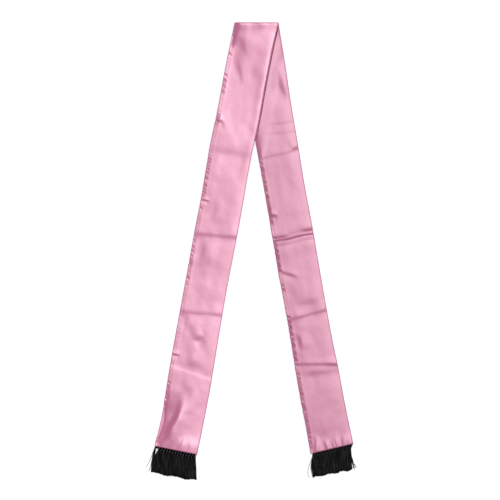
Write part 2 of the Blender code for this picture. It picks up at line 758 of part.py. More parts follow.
def main():
    """Build the whole scarf."""
    clear_scene()
    fold = bpy.data.objects.new("middle_of_fold", None)
    bpy.context.scene.collection.objects.link(fold)
    pieces = [
        make_satin("satin_upper_stretch", UPPER, fold),
        make_satin("satin_lower_stretch", LOWER, fold),
        make_fringe("fringe_upper_end", UPPER_FRINGE, fold),
        make_fringe("fringe_lower_end", LOWER_FRINGE, fold),
    ]
    centre_on_floor(pieces, fold)


main()
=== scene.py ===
"""Looks of a slim satin neck scarf, folded in half and laid flat as an inverted V, on a plain pale floor.

Each stretch of the scarf is a satin tube, pressed flat. It starts here as flat cut cloth, a grid, that is
wrapped round its solid's form. Each end has a ribbed heading of cord with loose strands.

Each stretch has its own frame, in millimetres: x runs across it from its axis and v down it, both from the
middle of the fold. A place across the cloth itself is given by u, its distance from the middle line of the
pressed cloth, from -35 at the sewn edge to 35 at the folded edge.
"""

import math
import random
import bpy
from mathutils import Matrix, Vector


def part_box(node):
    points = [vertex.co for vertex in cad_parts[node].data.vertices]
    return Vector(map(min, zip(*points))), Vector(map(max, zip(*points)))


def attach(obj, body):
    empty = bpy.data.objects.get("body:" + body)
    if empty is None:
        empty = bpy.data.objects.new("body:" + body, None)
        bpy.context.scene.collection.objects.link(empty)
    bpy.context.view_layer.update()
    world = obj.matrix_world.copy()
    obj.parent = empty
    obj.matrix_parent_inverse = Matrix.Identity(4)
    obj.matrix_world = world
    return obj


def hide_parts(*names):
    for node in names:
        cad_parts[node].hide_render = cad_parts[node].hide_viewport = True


bl_info = {
    "name": "Satin neck scarf",
    "version": (1, 0, 0),
    "blender": (4, 5, 0),
    "location": "3D View > Sidebar > Scarf",
    "description": "Builds the satin, the fringes and the studio of a slim neck scarf",
    "category": "Add Mesh",
}

from bisect import bisect_right
from collections import namedtuple

import bmesh
import bpy
from mathutils import Matrix, Vector, noise
from mathutils.geometry import interpolate_bezier

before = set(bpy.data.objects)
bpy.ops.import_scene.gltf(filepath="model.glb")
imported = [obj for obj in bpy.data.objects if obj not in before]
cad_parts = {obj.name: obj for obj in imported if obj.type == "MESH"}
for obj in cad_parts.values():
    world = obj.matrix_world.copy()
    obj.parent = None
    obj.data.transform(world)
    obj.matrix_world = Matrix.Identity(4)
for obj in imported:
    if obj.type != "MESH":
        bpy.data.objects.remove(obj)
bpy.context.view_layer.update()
UPPER_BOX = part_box("satin_upper_stretch")

MM = 0.001
BODY = "root"

# The middle of the fold, from the two sides of the upper stretch's box that it lies next to
FOLD_FROM_SIDE = 35.68
FOLD_FROM_TOP = 0.06
FOLD = Vector((UPPER_BOX[1].x - FOLD_FROM_SIDE * MM, UPPER_BOX[1].y + FOLD_FROM_TOP * MM, 0.0))

# Satin tube
SCARF_WIDTH = 70.0
HALF_WIDTH = SCARF_WIDTH / 2
TUBE_THICKNESS = 2.4
PLIES_THICKNESS = 0.4
UPPER_ANGLE = math.radians(10.64)
LOWER_ANGLE = math.radians(10.04)
SPREAD_ANGLE = UPPER_ANGLE + LOWER_ANGLE
UPPER_LENGTH = 708.5
LOWER_LENGTH = 704.5
FULL_LIFT = 2.75

# Turn at the top: its depth, the space inside it, the form of its round, the radius by which its cut is
# reckoned, the gap to the lower stretch's shell, and how the cloth leaves the turn and comes down
TURN_DEPTH = 3.6
TURN_INSIDE_DEPTH = 1.2
TURN_INSIDE_HEIGHT = 0.175
TURN_ROWS = 26
TURN_SQUARENESS = 0.42
SHELL_GAP = 0.05
SQUARING_LENGTH = 50.0
SLOPE_LENGTH = 150.0
SLOPE_CLEARANCE = 1.2

# Soft form of the top face
CROWN = 0.7
SEWN_FALL = 0.08
COVERED_MARGIN = 4.0
COVERED_FADE = 14.0
SWELL_HEIGHT = 1.4
SWELL_REACH = 24.0
GROOVE_DEPTH = 2.0
GROOVE_HIDDEN = 1.8
GROOVE_WIDTH = 0.9
GROOVE_RISE = 0.7
GROOVE_COLUMNS = 5.0
GROOVE_REACH = 2.2
GROOVE_PASSES = 8
HALVINGS = 24
EDGE_FLATTENING = 6
SEAM_RIDGE_INSET = 7.0
SEAM_RIDGE_HALF_WIDTH = 2.6
SEAM_RIDGE_HEIGHT = 0.04
PUCKER_REACH = 8.0
PUCKER_HALF_WIDTH = 2.5
PUCKER_SLANT = 0.45
PUCKER_INSET = 0.5
TICK_SPACING = (3.4, 12.0)
TICK_DEPTH = (0.3, 2.4)
EDGE_ZONE = 33.0
CREASE_FADE = 0.45
CROSS_STRAYING = 0.3
CREASE_RETURN = 7.0
NARROW_CREASE = 2.0
FOLD_UNEVENNESS = 1.3
FOLD_WAVE = 17.0

# Grid of the cut cloth: two rounds of the plies at the sewn edge, the round of the cloth's own fold at the
# other, and where its columns and rows lie closer together
SEWN_ROUND = 0.6
FOLDED_ROUND = 0.8
SEWN_ROUND_STEPS = 5
FOLDED_ROUND_STEPS = 6
UPPER_TOP_STEPS = 44
LOWER_TOP_STEPS = 56
UNDER_STEPS = 8
UPPER_ROWS = 674
LOWER_ROWS = 600
OVERLAP_END = 170.0
OVERLAP_DENSITY = 0.5
CROSSING_RUN = 10.0
CROSSING_REACH = 5.0
SEWN_DENSITY = 1.6
SEWN_DENSITY_REACH = 14.0
FOLDED_DENSITY = 1.2
FOLDED_DENSITY_REACH = 7.0
SAMPLES_A_PLACE = 20

# The last of the satin rolls down to the heading, and the ribs gather it a little
HEM_LENGTH = 1.2
HEM_DROP = 0.10
GATHER_LENGTH = 7.0
GATHER_HEIGHT = 0.06


def table(kind, *rows):
    """The rows of a table, each made into its kind."""
    return tuple(kind(*row) for row in rows)


# Places of the two edges down a stretch
EdgeRow = namedtuple("EdgeRow", "v sewn folded")
UPPER_EDGES = table(
    EdgeRow,
    (0, -35.1, 35.1), (30, -35.8, 33.4), (60, -36.3, 32.8), (100, -36.7, 32.6), (150, -36.4, 33.1),
    (210, -37.8, 31.8), (250, -37.2, 31.8), (300, -36.4, 32.5), (345, -36.8, 32.8), (430, -36.4, 32.4),
    (500, -36.1, 33.4), (550, -36, 34.6), (600, -35.2, 35.7), (640, -34.2, 35.6), (670, -34.3, 35.3),
    (700, -36.2, 34.7),
)
LOWER_EDGES = table(
    EdgeRow,
    (0, -35.1, 35.1), (25, -35.2, 34.5), (80, -35.6, 33.8), (120, -35.9, 32.5), (160, -36, 31.8),
    (210, -35.8, 31.5), (270, -35.6, 30.7), (350, -35.9, 31.4), (400, -36.4, 31), (460, -35.6, 30.8),
    (530, -36.1, 31.3), (575, -36.7, 32.8), (615, -36.9, 33), (655, -36.2, 33.8), (695, -36, 35.1),
)

# A crease is a low step that runs from its start to its end, and fades out where its end isn't on an edge.
# The cloth falls by its depth within about its half width on each side, towards the fringe or, where the
# crease runs lengthwise, towards the sewn edge, and comes back slowly. A negative depth is a rise. The last
# value, one half where it isn't given, is the share of the depth that stands above the cloth round it.
Crease = namedtuple("Crease", "x_start v_start x_end v_end half_width depth above", defaults=(0.5,))
UPPER_CREASES = table(
    Crease,
    (-36, 216, 35, 215, 6, 0.32), (-36, 300, -20, 300, 1.2, 0.42), (-36, 356.8, 35, 350.2, 3.4, 0.38),
    (-36, 485.2, 35, 478.8, 3, 0.28), (-36, 555, -22, 556, 1.3, 0.42), (-36, 574.5, 35, 585, 2.4, -0.14),
    (-29, -8, -31, 56, 3.4, 2.6, 0.2), (-28, 20, -6, 60, 3.6, 0.3), (-19, 62, -5, 108, 3, 0.36),
    (-22, -24, -15, 92, 8, 1.5), (-4, -40, 0, 150, 12, 1.3), (14, -40, 15, 170, 10, 1.2),
    (25, -60, 25, 300, 8, 1.2), (-20, 10, -20, 170, 9, 0.9), (0, 50, 2, 190, 10, 0.6),
    (-36, 170, -22, 167, 2.5, 0.7), (-18, 190, -18, 330, 9, -0.5), (-12, 288, -9, 342, 4, 0.3),
    (-18, 354, -16, 410, 4.5, 0.55), (2, 320, 2, 520, 9, -0.7), (-18, 430, -18, 530, 8, -0.4),
    (22, 370, 22, 570, 9, -0.7), (-24, 482, -22, 514, 4, 0.35), (-8, 527, 12, 518, 4, 0.6),
    (-14, 567, 22, 567, 6, 0.55), (-18, 604, 16, 608, 9, 0.6), (-6, 612, -26, 716, 4.2, 3.8, 0.35),
    (-23, 610, -27, 730, 6, 2.2, 0.3), (-28, 606, -31, 716, 2.4, 1.6, 0.3), (18, 590, 18, 700, 8, -0.5),
    (-10, 692, 36, 690, 7, -0.5, 0), (10, 680, 5, 716, 1.8, 0.45), (2, 686, 2, 718, 1.8, 0.4),
    (-27, 690, -26, 718, 1.8, 0.5), (21, 686, 18, 718, 1.8, 0.3),
)
LOWER_CREASES = table(
    Crease,
    (-20, 167, 35, 169, 2, 0.16), (-25, 182, 35, 185, 2, 0.16), (-36, 220, 35, 215, 2.4, 0.26),
    (-36, 350.6, 35, 346.6, 4, 0.58), (-36, 356, 35, 354.2, 1.5, 0.64), (-36, 365, 35, 362, 4, -0.4),
    (-36, 350, -10, 350, 2.2, 0.45), (12, 348, 36, 347, 2.4, 0.45), (-36, 486, 35, 480.4, 3, 0.45),
    (-36, 559, 34, 570.5, 2, 0.34), (-30, 577, 35, 580, 5, 0.51), (23, 66, 19, 122, 4.5, 0.9),
    (17, 94, 29, 138, 4, 0.8), (14, 213, 35, 211, 3, 0.51), (-36, 313, -20, 316, 2, 0.72),
    (-36, 404, -4, 422, 2, 0.45), (-24, 462, 30, 466, 8, 0.72), (-24, 506, -20, 542, 3.5, 0.88),
    (8, 567, 35, 573, 2.6, 0.25), (-24, 676, -30, 716, 1.8, 0.6), (-18, 672, -24, 716, 3, -0.4),
    (-12, 686, -8, 716, 1.5, 0.5), (-4, 680, -4, 716, 3, -0.35), (2, 690, 4, 716, 1.4, 0.4),
    (8, 686, 12, 716, 1.3, 0.45), (15, 676, 14, 716, 3, -0.4), (18, 682, 21, 716, 1.6, 0.55),
    (27, 690, 29, 716, 1.5, 0.35), (-36, 692, 36, 688, 7, -0.5, 0.3),
)

# Falls that run parallel to the fold, at their distances from it
FOLD_FALLS = table(Crease, (-40, 7, 40, 7, 8, 0.85, 1), (-40, 40, 40, 40, 24, 1.3))

# Stretches of the side seam where the cloth falls away to the edge and is pulled into gathers: their ends,
# how far the edge falls, and how high the gathers are
SeamRun = namedtuple("SeamRun", "v_start v_end drop gather")
UPPER_SEAM_RUNS = table(
    SeamRun,
    (12, 46, 0.6, 0.08), (92, 128, 0.15, 0.16), (158, 182, 0.35, 0.2), (226, 300, 0.2, 0.2),
    (360, 440, 0.2, 0.16), (600, 706, 0.6, 0.12),
)
LOWER_SEAM_RUNS = table(
    SeamRun,
    (140, 224, 0.2, 0.12), (226, 330, 0.6, 0.3), (350, 410, 0.5, 0.5), (428, 444, 0.3, 0.3),
    (480, 560, 0.5, 0.5), (570, 706, 0.4, 0.3),
)
SEAM_RUN_FADE = 10.0
SEAM_DROP_REACH = 6.0
SEAM_DROP_WAVE = 7.0
SEAM_DROP_SHARE = 0.7
SEAM_DROP_UNEVENNESS = 1.4

# Puckers that the sewing leaves along the seam: their places down the stretch, and their depth
Pucker = namedtuple("Pucker", "v depth")
UPPER_PUCKERS = table(
    Pucker,
    (58, 0.3), (101, 0.45), (110, 0.35), (120, 0.45), (168, 0.6), (236, 0.45), (248, 0.35), (263, 0.4),
    (281, 0.35), (313, 0.35), (404, 0.3), (428, 0.35), (601, 0.4), (622, 0.5), (640, 0.45), (661, 0.5),
    (684, 0.5),
)
LOWER_PUCKERS = table(
    Pucker,
    (236, 0.35), (257, 0.4), (279, 0.35), (297, 0.4), (313, 0.6), (323, 0.5), (370, 0.45), (380, 0.5),
    (391, 0.5), (402, 0.55), (435, 0.5), (498, 0.5), (510, 0.45), (524, 0.5), (541, 0.5), (606, 0.35),
    (633, 0.35), (661, 0.4),
)

# Low waves that pressed satin keeps: wave lengths across and down the stretch, height, and a seed
Wave = namedtuple("Wave", "across down height seed")
WAVES = (
    Wave(across=30.0, down=40.0, height=0.27, seed=3.0),
    Wave(across=12.0, down=16.0, height=0.07, seed=11.0),
    Wave(across=6.0, down=7.0, height=0.02, seed=23.0),
)
# How far the creases stray from their straight lines
STRAYING = Wave(across=24.0, down=24.0, height=3.2, seed=71.0)
SEAM_WAVE = Wave(across=9.0, down=3.4, height=0.12, seed=31.0)

# One stretch of the tube, with the v of its end at the two edges and the sign of its lean
Stretch = namedtuple(
    "Stretch", "angle side start v_end_sewn v_end_folded edges creases puckers seam_runs seed"
)
UPPER = Stretch(
    angle=UPPER_ANGLE,
    side=-1,
    start=TURN_DEPTH,
    v_end_sewn=UPPER_LENGTH - 0.5,
    v_end_folded=UPPER_LENGTH + 0.5,
    edges=UPPER_EDGES,
    creases=UPPER_CREASES,
    puckers=UPPER_PUCKERS,
    seam_runs=UPPER_SEAM_RUNS,
    seed=5.0,
)
LOWER = Stretch(
    angle=LOWER_ANGLE,
    side=1,
    start=TURN_DEPTH + SHELL_GAP,
    v_end_sewn=LOWER_LENGTH + 2.0,
    v_end_folded=LOWER_LENGTH - 2.0,
    edges=LOWER_EDGES,
    creases=LOWER_CREASES,
    puckers=LOWER_PUCKERS,
    seam_runs=LOWER_SEAM_RUNS,
    seed=47.0,
)

# All the puckers of each stretch, by its side, as make_shell finds them
PUCKERS_OF = {}

# A row of the cloth's grid: its v at the sewn and the folded edge, its angle where it lies in the turn, and
# its distance along the cut cloth. A column: its u, its height as a share of the tube's thickness, and its
# distance round the tube.
Row = namedtuple("Row", "v_sewn v_folded turn_angle along")
Column = namedtuple("Column", "u share around")

# Fringe
HEADING_LENGTH = 9.0
HEADING_TUCK = 1.6
HEADING_HALF_WIDTH = 32.4
TAPE_LOW = 0.5
TAPE_HIGH = 0.9
TAPE_INSET = 0.4
TAPE_BEVEL = 0.4
RIB_PITCH = 4.3
RIB_COUNT = 15
RIB_SLANT = 4.0
RIB_LEVEL = 1.7
RIB_INSET = 1.2
RIB_OVERRUN = 0.6
RIB_ROOT_DROP = 0.9
RIB_END_DROP = 0.54
RIB_SIDES = 8
RIB_LOBES = 0.12
RIB_STATIONS = 12
STRAND_SIDES = 4
STRAND_LOBES = 0.10
STRAND_STATIONS = 9
STRAND_LAYERS = 4
STRAND_LOW = 0.72
STRAND_HIGH = 2.2
STRAND_TUCK = 2.0
LAYER_SHIFT = 0.33
LEVEL_JITTER = 0.35
FALL_SHARES = (0.5, 1.0)
LENGTH_JITTER = (-0.5, 0.3)
TIP_JITTER = 0.35
SWAY = 0.7
DRIFT_PLACES = (0.0, 0.35, 0.7, 1.0)
CLUMP_WIDTH = 3.1
CLUMP_PULL = 0.14
CLUMP_PULL_SHARES = (0.3, 1.0)
CLUMP_RAGGEDNESS = 2.4
CLUMP_VARIETY = 1.7
OPEN_LOOP_WIDTH = 2.6
OPEN_LOOP_CLOSING = 4.2
OPEN_LOOP_REACH = 20.0
OPEN_LOOP_TOP = 5.0
OPEN_LOOP_END = 15.5
OPEN_LOOP_STRANDS = 14
OPEN_LOOP_BINDING = (-0.6, 0.1, 0.8, 1.5, 2.2, 2.9)
BINDING_START = Vector((-1.8, 0.4, 1.4))
BINDING_END = Vector((2.0, 0.0, 1.6))
STRAY_LEVEL_STEP = 0.2
STRAY_SPACING = 0.7
STRAY_SIZES = (1.0, 0.8)
RIB_SIZES = (0.6, 1.0, 1.0, 1.0, 0.9)
CORD_TWIST = Matrix.Rotation(math.radians(32.0), 3, "Y")
RIB_MATERIAL = 1
TAPE_MATERIAL = 2

# Strands that leave the others: their root, the two points towards which they bow, and their tip, each as x
# and the distance past the seam
Stray = namedtuple("Stray", "x_root past_root x_bow past_bow x_turn past_turn x_tip past_tip count")
UPPER_STRAYS = table(
    Stray,
    (-33.8, -1, -38.5, 12, -37, 22, -43.6, 37.5, 1),
    (-34, -1, -38, 13, -34, 30, -38.3, 42.3, 2),
)
LOWER_STRAYS = table(
    Stray,
    (-33.5, 5, -41, 16, -51, 32, -43.6, 37.5, 1),
    (-33.2, 5, -38, 14, -42, 26, -38.4, 39, 2),
    (29.8, 9, 28.5, 18, 27.5, 32, 33.6, 38.4, 2),
    (28.6, 9, 27, 20, 30.5, 27, 28.6, 38.6, 2),
    (28.2, 9, 26, 18, 32.5, 28, 29, 35, 3),
    (27.6, 9, 25.6, 20, 29, 30, 32, 35.4, 2),
    (27.8, 9, 27.2, 22, 27, 30, 30.6, 40.8, 2),
)

# The outermost and the innermost strand on the outer side of the open loop, by the same four points
OPEN_LOOP_OUTERMOST = ((-34.4, -1.0), (-37.4, 9.0), (-36.8, 20.0), (-34.0, 43.2))
OPEN_LOOP_INNERMOST = ((-33.2, -1.0), (-32.6, 9.0), (-34.6, 20.0), (-30.4, 42.2))

Fringe = namedtuple(
    "Fringe",
    "stretch heading_shift rib_radius drift drift_shares spread length_sewn length_folded open_loop strays"
    " waves seed",
)
UPPER_FRINGE = Fringe(
    stretch=UPPER,
    heading_shift=1.0,
    rib_radius=0.88,
    drift=5.4,
    drift_shares=(0.33, 0.68, 1.0),
    spread=1.12,
    length_sewn=43.4,
    length_folded=41.4,
    open_loop=True,
    strays=UPPER_STRAYS,
    waves=2.5,
    seed=3,
)
LOWER_FRINGE = Fringe(
    stretch=LOWER,
    heading_shift=-2.6,
    rib_radius=0.60,
    drift=-6.0,
    drift_shares=(0.75, 1.0, 0.97),
    spread=1.01,
    length_sewn=38.0,
    length_folded=40.5,
    open_loop=False,
    strays=LOWER_STRAYS,
    waves=3.5,
    seed=8,
)

# Places of a colour Mix node's sockets, which share their names with those of its other kinds
MIX_SHARE = 0
MIX_FIRST = 6
MIX_SECOND = 7
MIX_RESULT = 2

# Patterns, as repeats in a metre: the satin's streaks and threads run down the cloth, and the cord's locks
# down the strands
STREAK_SCALE = (900.0, 40.0, 1.0)
THREAD_SCALE = (1600.0, 260.0, 1.0)
THREAD_HEIGHT = 0.00005
TWIST_SCALE = (900.0, 900.0, 900.0)
TWIST_STRENGTH = 0.6
TWIST_HEIGHT = 0.0002
LOCK_SCALE = (620.0, 45.0, 620.0)
LOCK_START = 0.46
LOCK_END = 0.66

# Studio
FLOOR_SIZE = 30.0
FLOOR_GAP = 0.3
PHOTO_WIDTH = 814.0
CAMERA_X = -1.48
CAMERA_Y = 1.57
SENSOR_WIDTH = 36.0
CAMERA_REACH = 100.0
LAMP_DISTANCE = 2.0
WHITE = (1.0, 1.0, 1.0, 1.0)
KEY_TILT = (7.5, 5.5)
KEY_SPREAD = 18.0
CEILING_SPREAD = 100.0
EDGE_TILT = (20.0, 58.0)
EDGE_SPREAD = 30.0


def linear(hex_colour):
    """The linear colour, with full alpha, of an sRGB colour written as six hex digits."""
    channels = [int(hex_colour[i:i + 2], 16) / 255.0 for i in (0, 2, 4)]
    low = [c / 12.92 for c in channels]
    high = [((c + 0.055) / 1.055) ** 2.4 for c in channels]
    return tuple(a if c <= 0.04045 else b for c, a, b in zip(channels, low, high)) + (1.0,)


def smoothstep(x):
    """Rise smoothly from 0 to 1 as x goes from 0 to 1."""
    x = min(max(x, 0.0), 1.0)
    return x * x * (3.0 - 2.0 * x)


def bump(x):
    """A soft rounded bump of height 1 at x = 0 that ends at x = 1."""
    return (1.0 - x * x) ** 2 if abs(x) < 1.0 else 0.0


def mix(a, b, share):
    """The value that lies the given share of the way from a to b."""
    return a + (b - a) * share


def at_least(least, x):
    """The value x where it is over twice the least, and below that one that runs smoothly to the least."""
    return x if x > 2.0 * least else least + max(x, 0.0) ** 2 / (4.0 * least)


def edge_at(stretch, v, name):
    """Where the sewn or the folded edge lies at v, on a smooth curve through the rows of its table."""
    rows = stretch.edges
    index = bisect_right(rows, v, key=lambda row: row.v) - 1
    index = min(max(index, 0), len(rows) - 2)
    first, second = rows[index], rows[index + 1]
    before, after = rows[max(index - 1, 0)], rows[min(index + 2, len(rows) - 1)]
    start, end = getattr(first, name), getattr(second, name)
    run = second.v - first.v
    slope_start = (end - getattr(before, name)) / (second.v - before.v)
    slope_end = (getattr(after, name) - start) / (after.v - first.v)
    t = min(max((v - first.v) / run, 0.0), 1.0)
    bend = run * t * (1.0 - t) * ((1.0 - t) * slope_start - t * slope_end)
    return mix(start, end, smoothstep(t)) + bend


def inside_edges(u):
    """A share that is 1 over most of the width and falls to 0 at the two edges."""
    return 1.0 - (u / HALF_WIDTH) ** EDGE_FLATTENING


def place_of(stretch, u, v):
    """The x of the cloth's line u at v."""
    return mix(edge_at(stretch, v, "sewn"), edge_at(stretch, v, "folded"), u / SCARF_WIDTH + 0.5)


def crease_form(crease, x, v):
    """Height that one crease adds at (x, v)."""
    reach = crease.half_width * CREASE_RETURN
    if v < min(crease.v_start, crease.v_end) - reach or v > max(crease.v_start, crease.v_end) + reach:
        return 0.0
    run_x = crease.x_end - crease.x_start
    run_v = crease.v_end - crease.v_start
    length = math.hypot(run_x, run_v)
    along = ((x - crease.x_start) * run_x + (v - crease.v_start) * run_v) / length ** 2
    across = ((x - crease.x_start) * run_v - (v - crease.v_start) * run_x) / length
    height = crease.depth * (0.5 * math.tanh(across / crease.half_width) + crease.above - 0.5)
    height *= 1.0 - smoothstep(abs(across) / reach)
    if abs(crease.x_start) < EDGE_ZONE:
        height *= smoothstep(along / CREASE_FADE)
    if abs(crease.x_end) < EDGE_ZONE:
        height *= smoothstep((1.0 - along) / CREASE_FADE)
    return height


def all_puckers(stretch):
    """The puckers of the table, and the small uneven ones that the thread draws up along each run."""
    rng = random.Random(stretch.seed)
    puckers = list(stretch.puckers)
    for run in stretch.seam_runs:
        v = run.v_start
        while v < run.v_end:
            puckers.append(Pucker(v=v, depth=run.gather * rng.uniform(*TICK_DEPTH)))
            v += rng.uniform(*TICK_SPACING)
    return puckers


def pucker_sum(stretch, v):
    """Depth of the seam's puckers at v."""
    near = [p for p in PUCKERS_OF[stretch.side] if abs(v - p.v) < PUCKER_HALF_WIDTH]
    return sum(p.depth * bump((v - p.v) / PUCKER_HALF_WIDTH) for p in near)


def wave_form(wave, x, v, seed):
    """Height that one low irregular wave adds at (x, v)."""
    return wave.height * noise.noise(Vector((x / wave.across, v / wave.down, wave.seed + seed)))


def seam_gathers(stretch, u, v):
    """Height of the fall and the small uneven gathers that the side seam draws up, at (u, v)."""
    from_edge = u + HALF_WIDTH
    reach = 1.0 - smoothstep(from_edge / PUCKER_REACH)
    if reach == 0.0:
        return 0.0
    puckers = pucker_sum(stretch, v - PUCKER_SLANT * from_edge)
    height = reach * (wave_form(SEAM_WAVE, u, v, stretch.seed) - puckers)
    for run in stretch.seam_runs:
        if run.v_start < v < run.v_end:
            inside = smoothstep(min(v - run.v_start, run.v_end - v) / SEAM_RUN_FADE)
            chance = noise.noise(Vector((v / SEAM_DROP_WAVE, stretch.seed, 0.0)))
            share = max(SEAM_DROP_SHARE + SEAM_DROP_UNEVENNESS * chance, 0.0)
            height -= inside * run.drop * share * bump(from_edge / SEAM_DROP_REACH)
    return height


def end_gathers(stretch, x, v):
    """Height of the gathers that the ribs press into the end of the satin, and of its roll down to them."""
    to_end = seam_v(stretch, x) - v
    if to_end > GATHER_LENGTH:
        return 0.0
    ribs = GATHER_HEIGHT * math.cos(math.tau * x / RIB_PITCH) * (1.0 - to_end / GATHER_LENGTH) ** 2
    roll = 1.0 - to_end / HEM_LENGTH
    return ribs - (HEM_DROP * roll * roll if roll > 0.0 else 0.0)


def fold_trough(stretch, x, v):
    """Height that the shallow fall below the fold adds at (x, v). It runs parallel to the fold."""
    from_fold = v * math.cos(stretch.angle) - stretch.side * x * math.sin(stretch.angle)
    unevenness = 1.0 + FOLD_UNEVENNESS * noise.noise(Vector((x / FOLD_WAVE, stretch.seed, 0.0)))
    near, wide = FOLD_FALLS
    return unevenness * crease_form(near, x, from_fold) + crease_form(wide, x, from_fold)


def relief(stretch, u, v):
    """Height of the top face over the plain thickness at (u, v)."""
    x = place_of(stretch, u, v)
    if u < 0.0:
        crown = CROWN * (1.0 - SEWN_FALL * (u / HALF_WIDTH) ** 8)
    else:
        crown = CROWN * (1.0 - (u / HALF_WIDTH) ** 4)
    ridge = SEAM_RIDGE_HEIGHT * bump((u + HALF_WIDTH - SEAM_RIDGE_INSET) / SEAM_RIDGE_HALF_WIDTH)
    stray = wave_form(STRAYING, x, v, stretch.seed)
    creases = sum(crease_form(c, x + stray, v + CROSS_STRAYING * stray) for c in stretch.creases)
    waves = inside_edges(u) * sum(wave_form(wave, x, v, stretch.seed) for wave in WAVES)
    edges = seam_gathers(stretch, u, v) + end_gathers(stretch, x, v)
    return crown + ridge + creases + fold_trough(stretch, x, v) + waves + edges


def past_upper(x, v):
    """How far a place on the lower stretch, at its (x, v), lies past the upper stretch's folded edge."""
    upper_x = x * math.cos(SPREAD_ANGLE) + v * math.sin(SPREAD_ANGLE)
    upper_v = v * math.cos(SPREAD_ANGLE) - x * math.sin(SPREAD_ANGLE)
    return upper_x - edge_at(UPPER, upper_v, "folded")


def lower_top(u, x, v):
    """Height of the lower stretch's top face: flat under the upper one, and a groove and a swell beside."""
    past_edge = past_upper(x, v)
    uncovered = smoothstep((past_edge - COVERED_MARGIN) / COVERED_FADE)
    out_of_groove = smoothstep((past_edge - GROOVE_WIDTH) / GROOVE_RISE)
    swell = out_of_groove - smoothstep(past_edge / SWELL_REACH)
    groove = smoothstep((past_edge + GROOVE_HIDDEN) / GROOVE_RISE) * (1.0 - out_of_groove)
    beside = inside_edges(u) * (SWELL_HEIGHT * max(swell, 0.0) - GROOVE_DEPTH * groove)
    return TUBE_THICKNESS + relief(LOWER, u, v) * uncovered + beside


def lift(x, v):
    """Height of the upper stretch's underside over the floor at its (x, v)."""
    lower_x = x * math.cos(SPREAD_ANGLE) - v * math.sin(SPREAD_ANGLE)
    lower_v = v * math.cos(SPREAD_ANGLE) + x * math.sin(SPREAD_ANGLE)
    over_lower = lower_x - edge_at(LOWER, lower_v, "sewn")
    return FULL_LIFT * smoothstep((over_lower + SLOPE_CLEARANCE + SLOPE_LENGTH) / SLOPE_LENGTH)


def v_across(stretch, row, u):
    """Place of a row down the stretch at u. Near the fold it turns parallel to the fold line."""
    v = mix(row.v_sewn, row.v_folded, (u + HALF_WIDTH) / SCARF_WIDTH)
    squared = smoothstep(v / SQUARING_LENGTH)
    return v + stretch.side * u * math.tan(stretch.angle) * (1.0 - squared)


def cloth_point(stretch, row, column):
    """Where a point of the cut cloth lies, wrapped to the tube and laid, in the stretch's frame."""
    if row.turn_angle is not None:
        return turn_point(stretch, row, column)
    v = v_across(stretch, row, column.u)
    x = place_of(stretch, column.u, v)
    if stretch is LOWER:
        low = 0.0
        thickness = lower_top(column.u, x, v)
    else:
        low = lift(x, v)
        thickness = TUBE_THICKNESS + relief(stretch, column.u, v)
    return Vector((x, -v, low + column.share * at_least(PLIES_THICKNESS, thickness)))


def turn_point(stretch, row, column):
    """Where a point of the cut cloth lies in the turn. The cloth runs straight on round it."""
    start = Row(TURN_DEPTH, TURN_DEPTH, None, 0.0)
    v_start = v_across(stretch, start, column.u)
    outer_height = FULL_LIFT + TUBE_THICKNESS + relief(stretch, column.u, v_start)
    up = math.copysign(abs(math.cos(row.turn_angle)) ** TURN_SQUARENESS, math.cos(row.turn_angle))
    back = max(math.sin(row.turn_angle), 0.0) ** TURN_SQUARENESS
    inner_height = TUBE_THICKNESS + TURN_INSIDE_HEIGHT * (1.0 + up)
    height = mix(inner_height, outer_height * (1.0 + up) / 2, column.share)
    depth = mix(TURN_INSIDE_DEPTH, TURN_DEPTH, column.share) * back
    place = Vector((place_of(stretch, column.u, v_start), -v_start, height))
    done = row.turn_angle / math.pi
    sideways = -stretch.side * 2.0 * TURN_DEPTH * math.tan(stretch.angle) * done
    lean = stretch.angle * stretch.side
    across_fold = Vector((math.cos(lean), -math.sin(lean), 0.0))
    towards_fold = Vector((math.sin(lean), math.cos(lean), 0.0))
    return place + across_fold * sideways + towards_fold * depth


def pucker_inset(stretch, v):
    """How far the sewn edge is drawn in at v, by its puckers and its small stitched scallops."""
    scallop = noise.noise(Vector((v / SEAM_WAVE.down, stretch.seed, SEAM_WAVE.seed)))
    return PUCKER_INSET * pucker_sum(stretch, v) + SEAM_WAVE.height * (1.0 + scallop)


def spaced(start, end, count, density):
    """Places from start to end, closer together where the density is higher."""
    samples = SAMPLES_A_PLACE * count
    sums = [0.0]
    for i in range(samples):
        sums.append(sums[-1] + density(mix(start, end, (i + 0.5) / samples)))
    places = []
    for i in range(count + 1):
        index = bisect_right(sums, sums[-1] * i / count) - 1
        index = min(index, samples - 1)
        share = (sums[-1] * i / count - sums[index]) / (sums[index + 1] - sums[index])
        places.append(mix(start, end, (index + share) / samples))
    return places


def column_density(u):
    """More columns near the sewn edge, and some more near the folded edge."""
    sewn = SEWN_DENSITY * bump((u + HALF_WIDTH) / SEWN_DENSITY_REACH)
    return 1.0 + sewn + FOLDED_DENSITY * bump((u - HALF_WIDTH) / FOLDED_DENSITY_REACH)


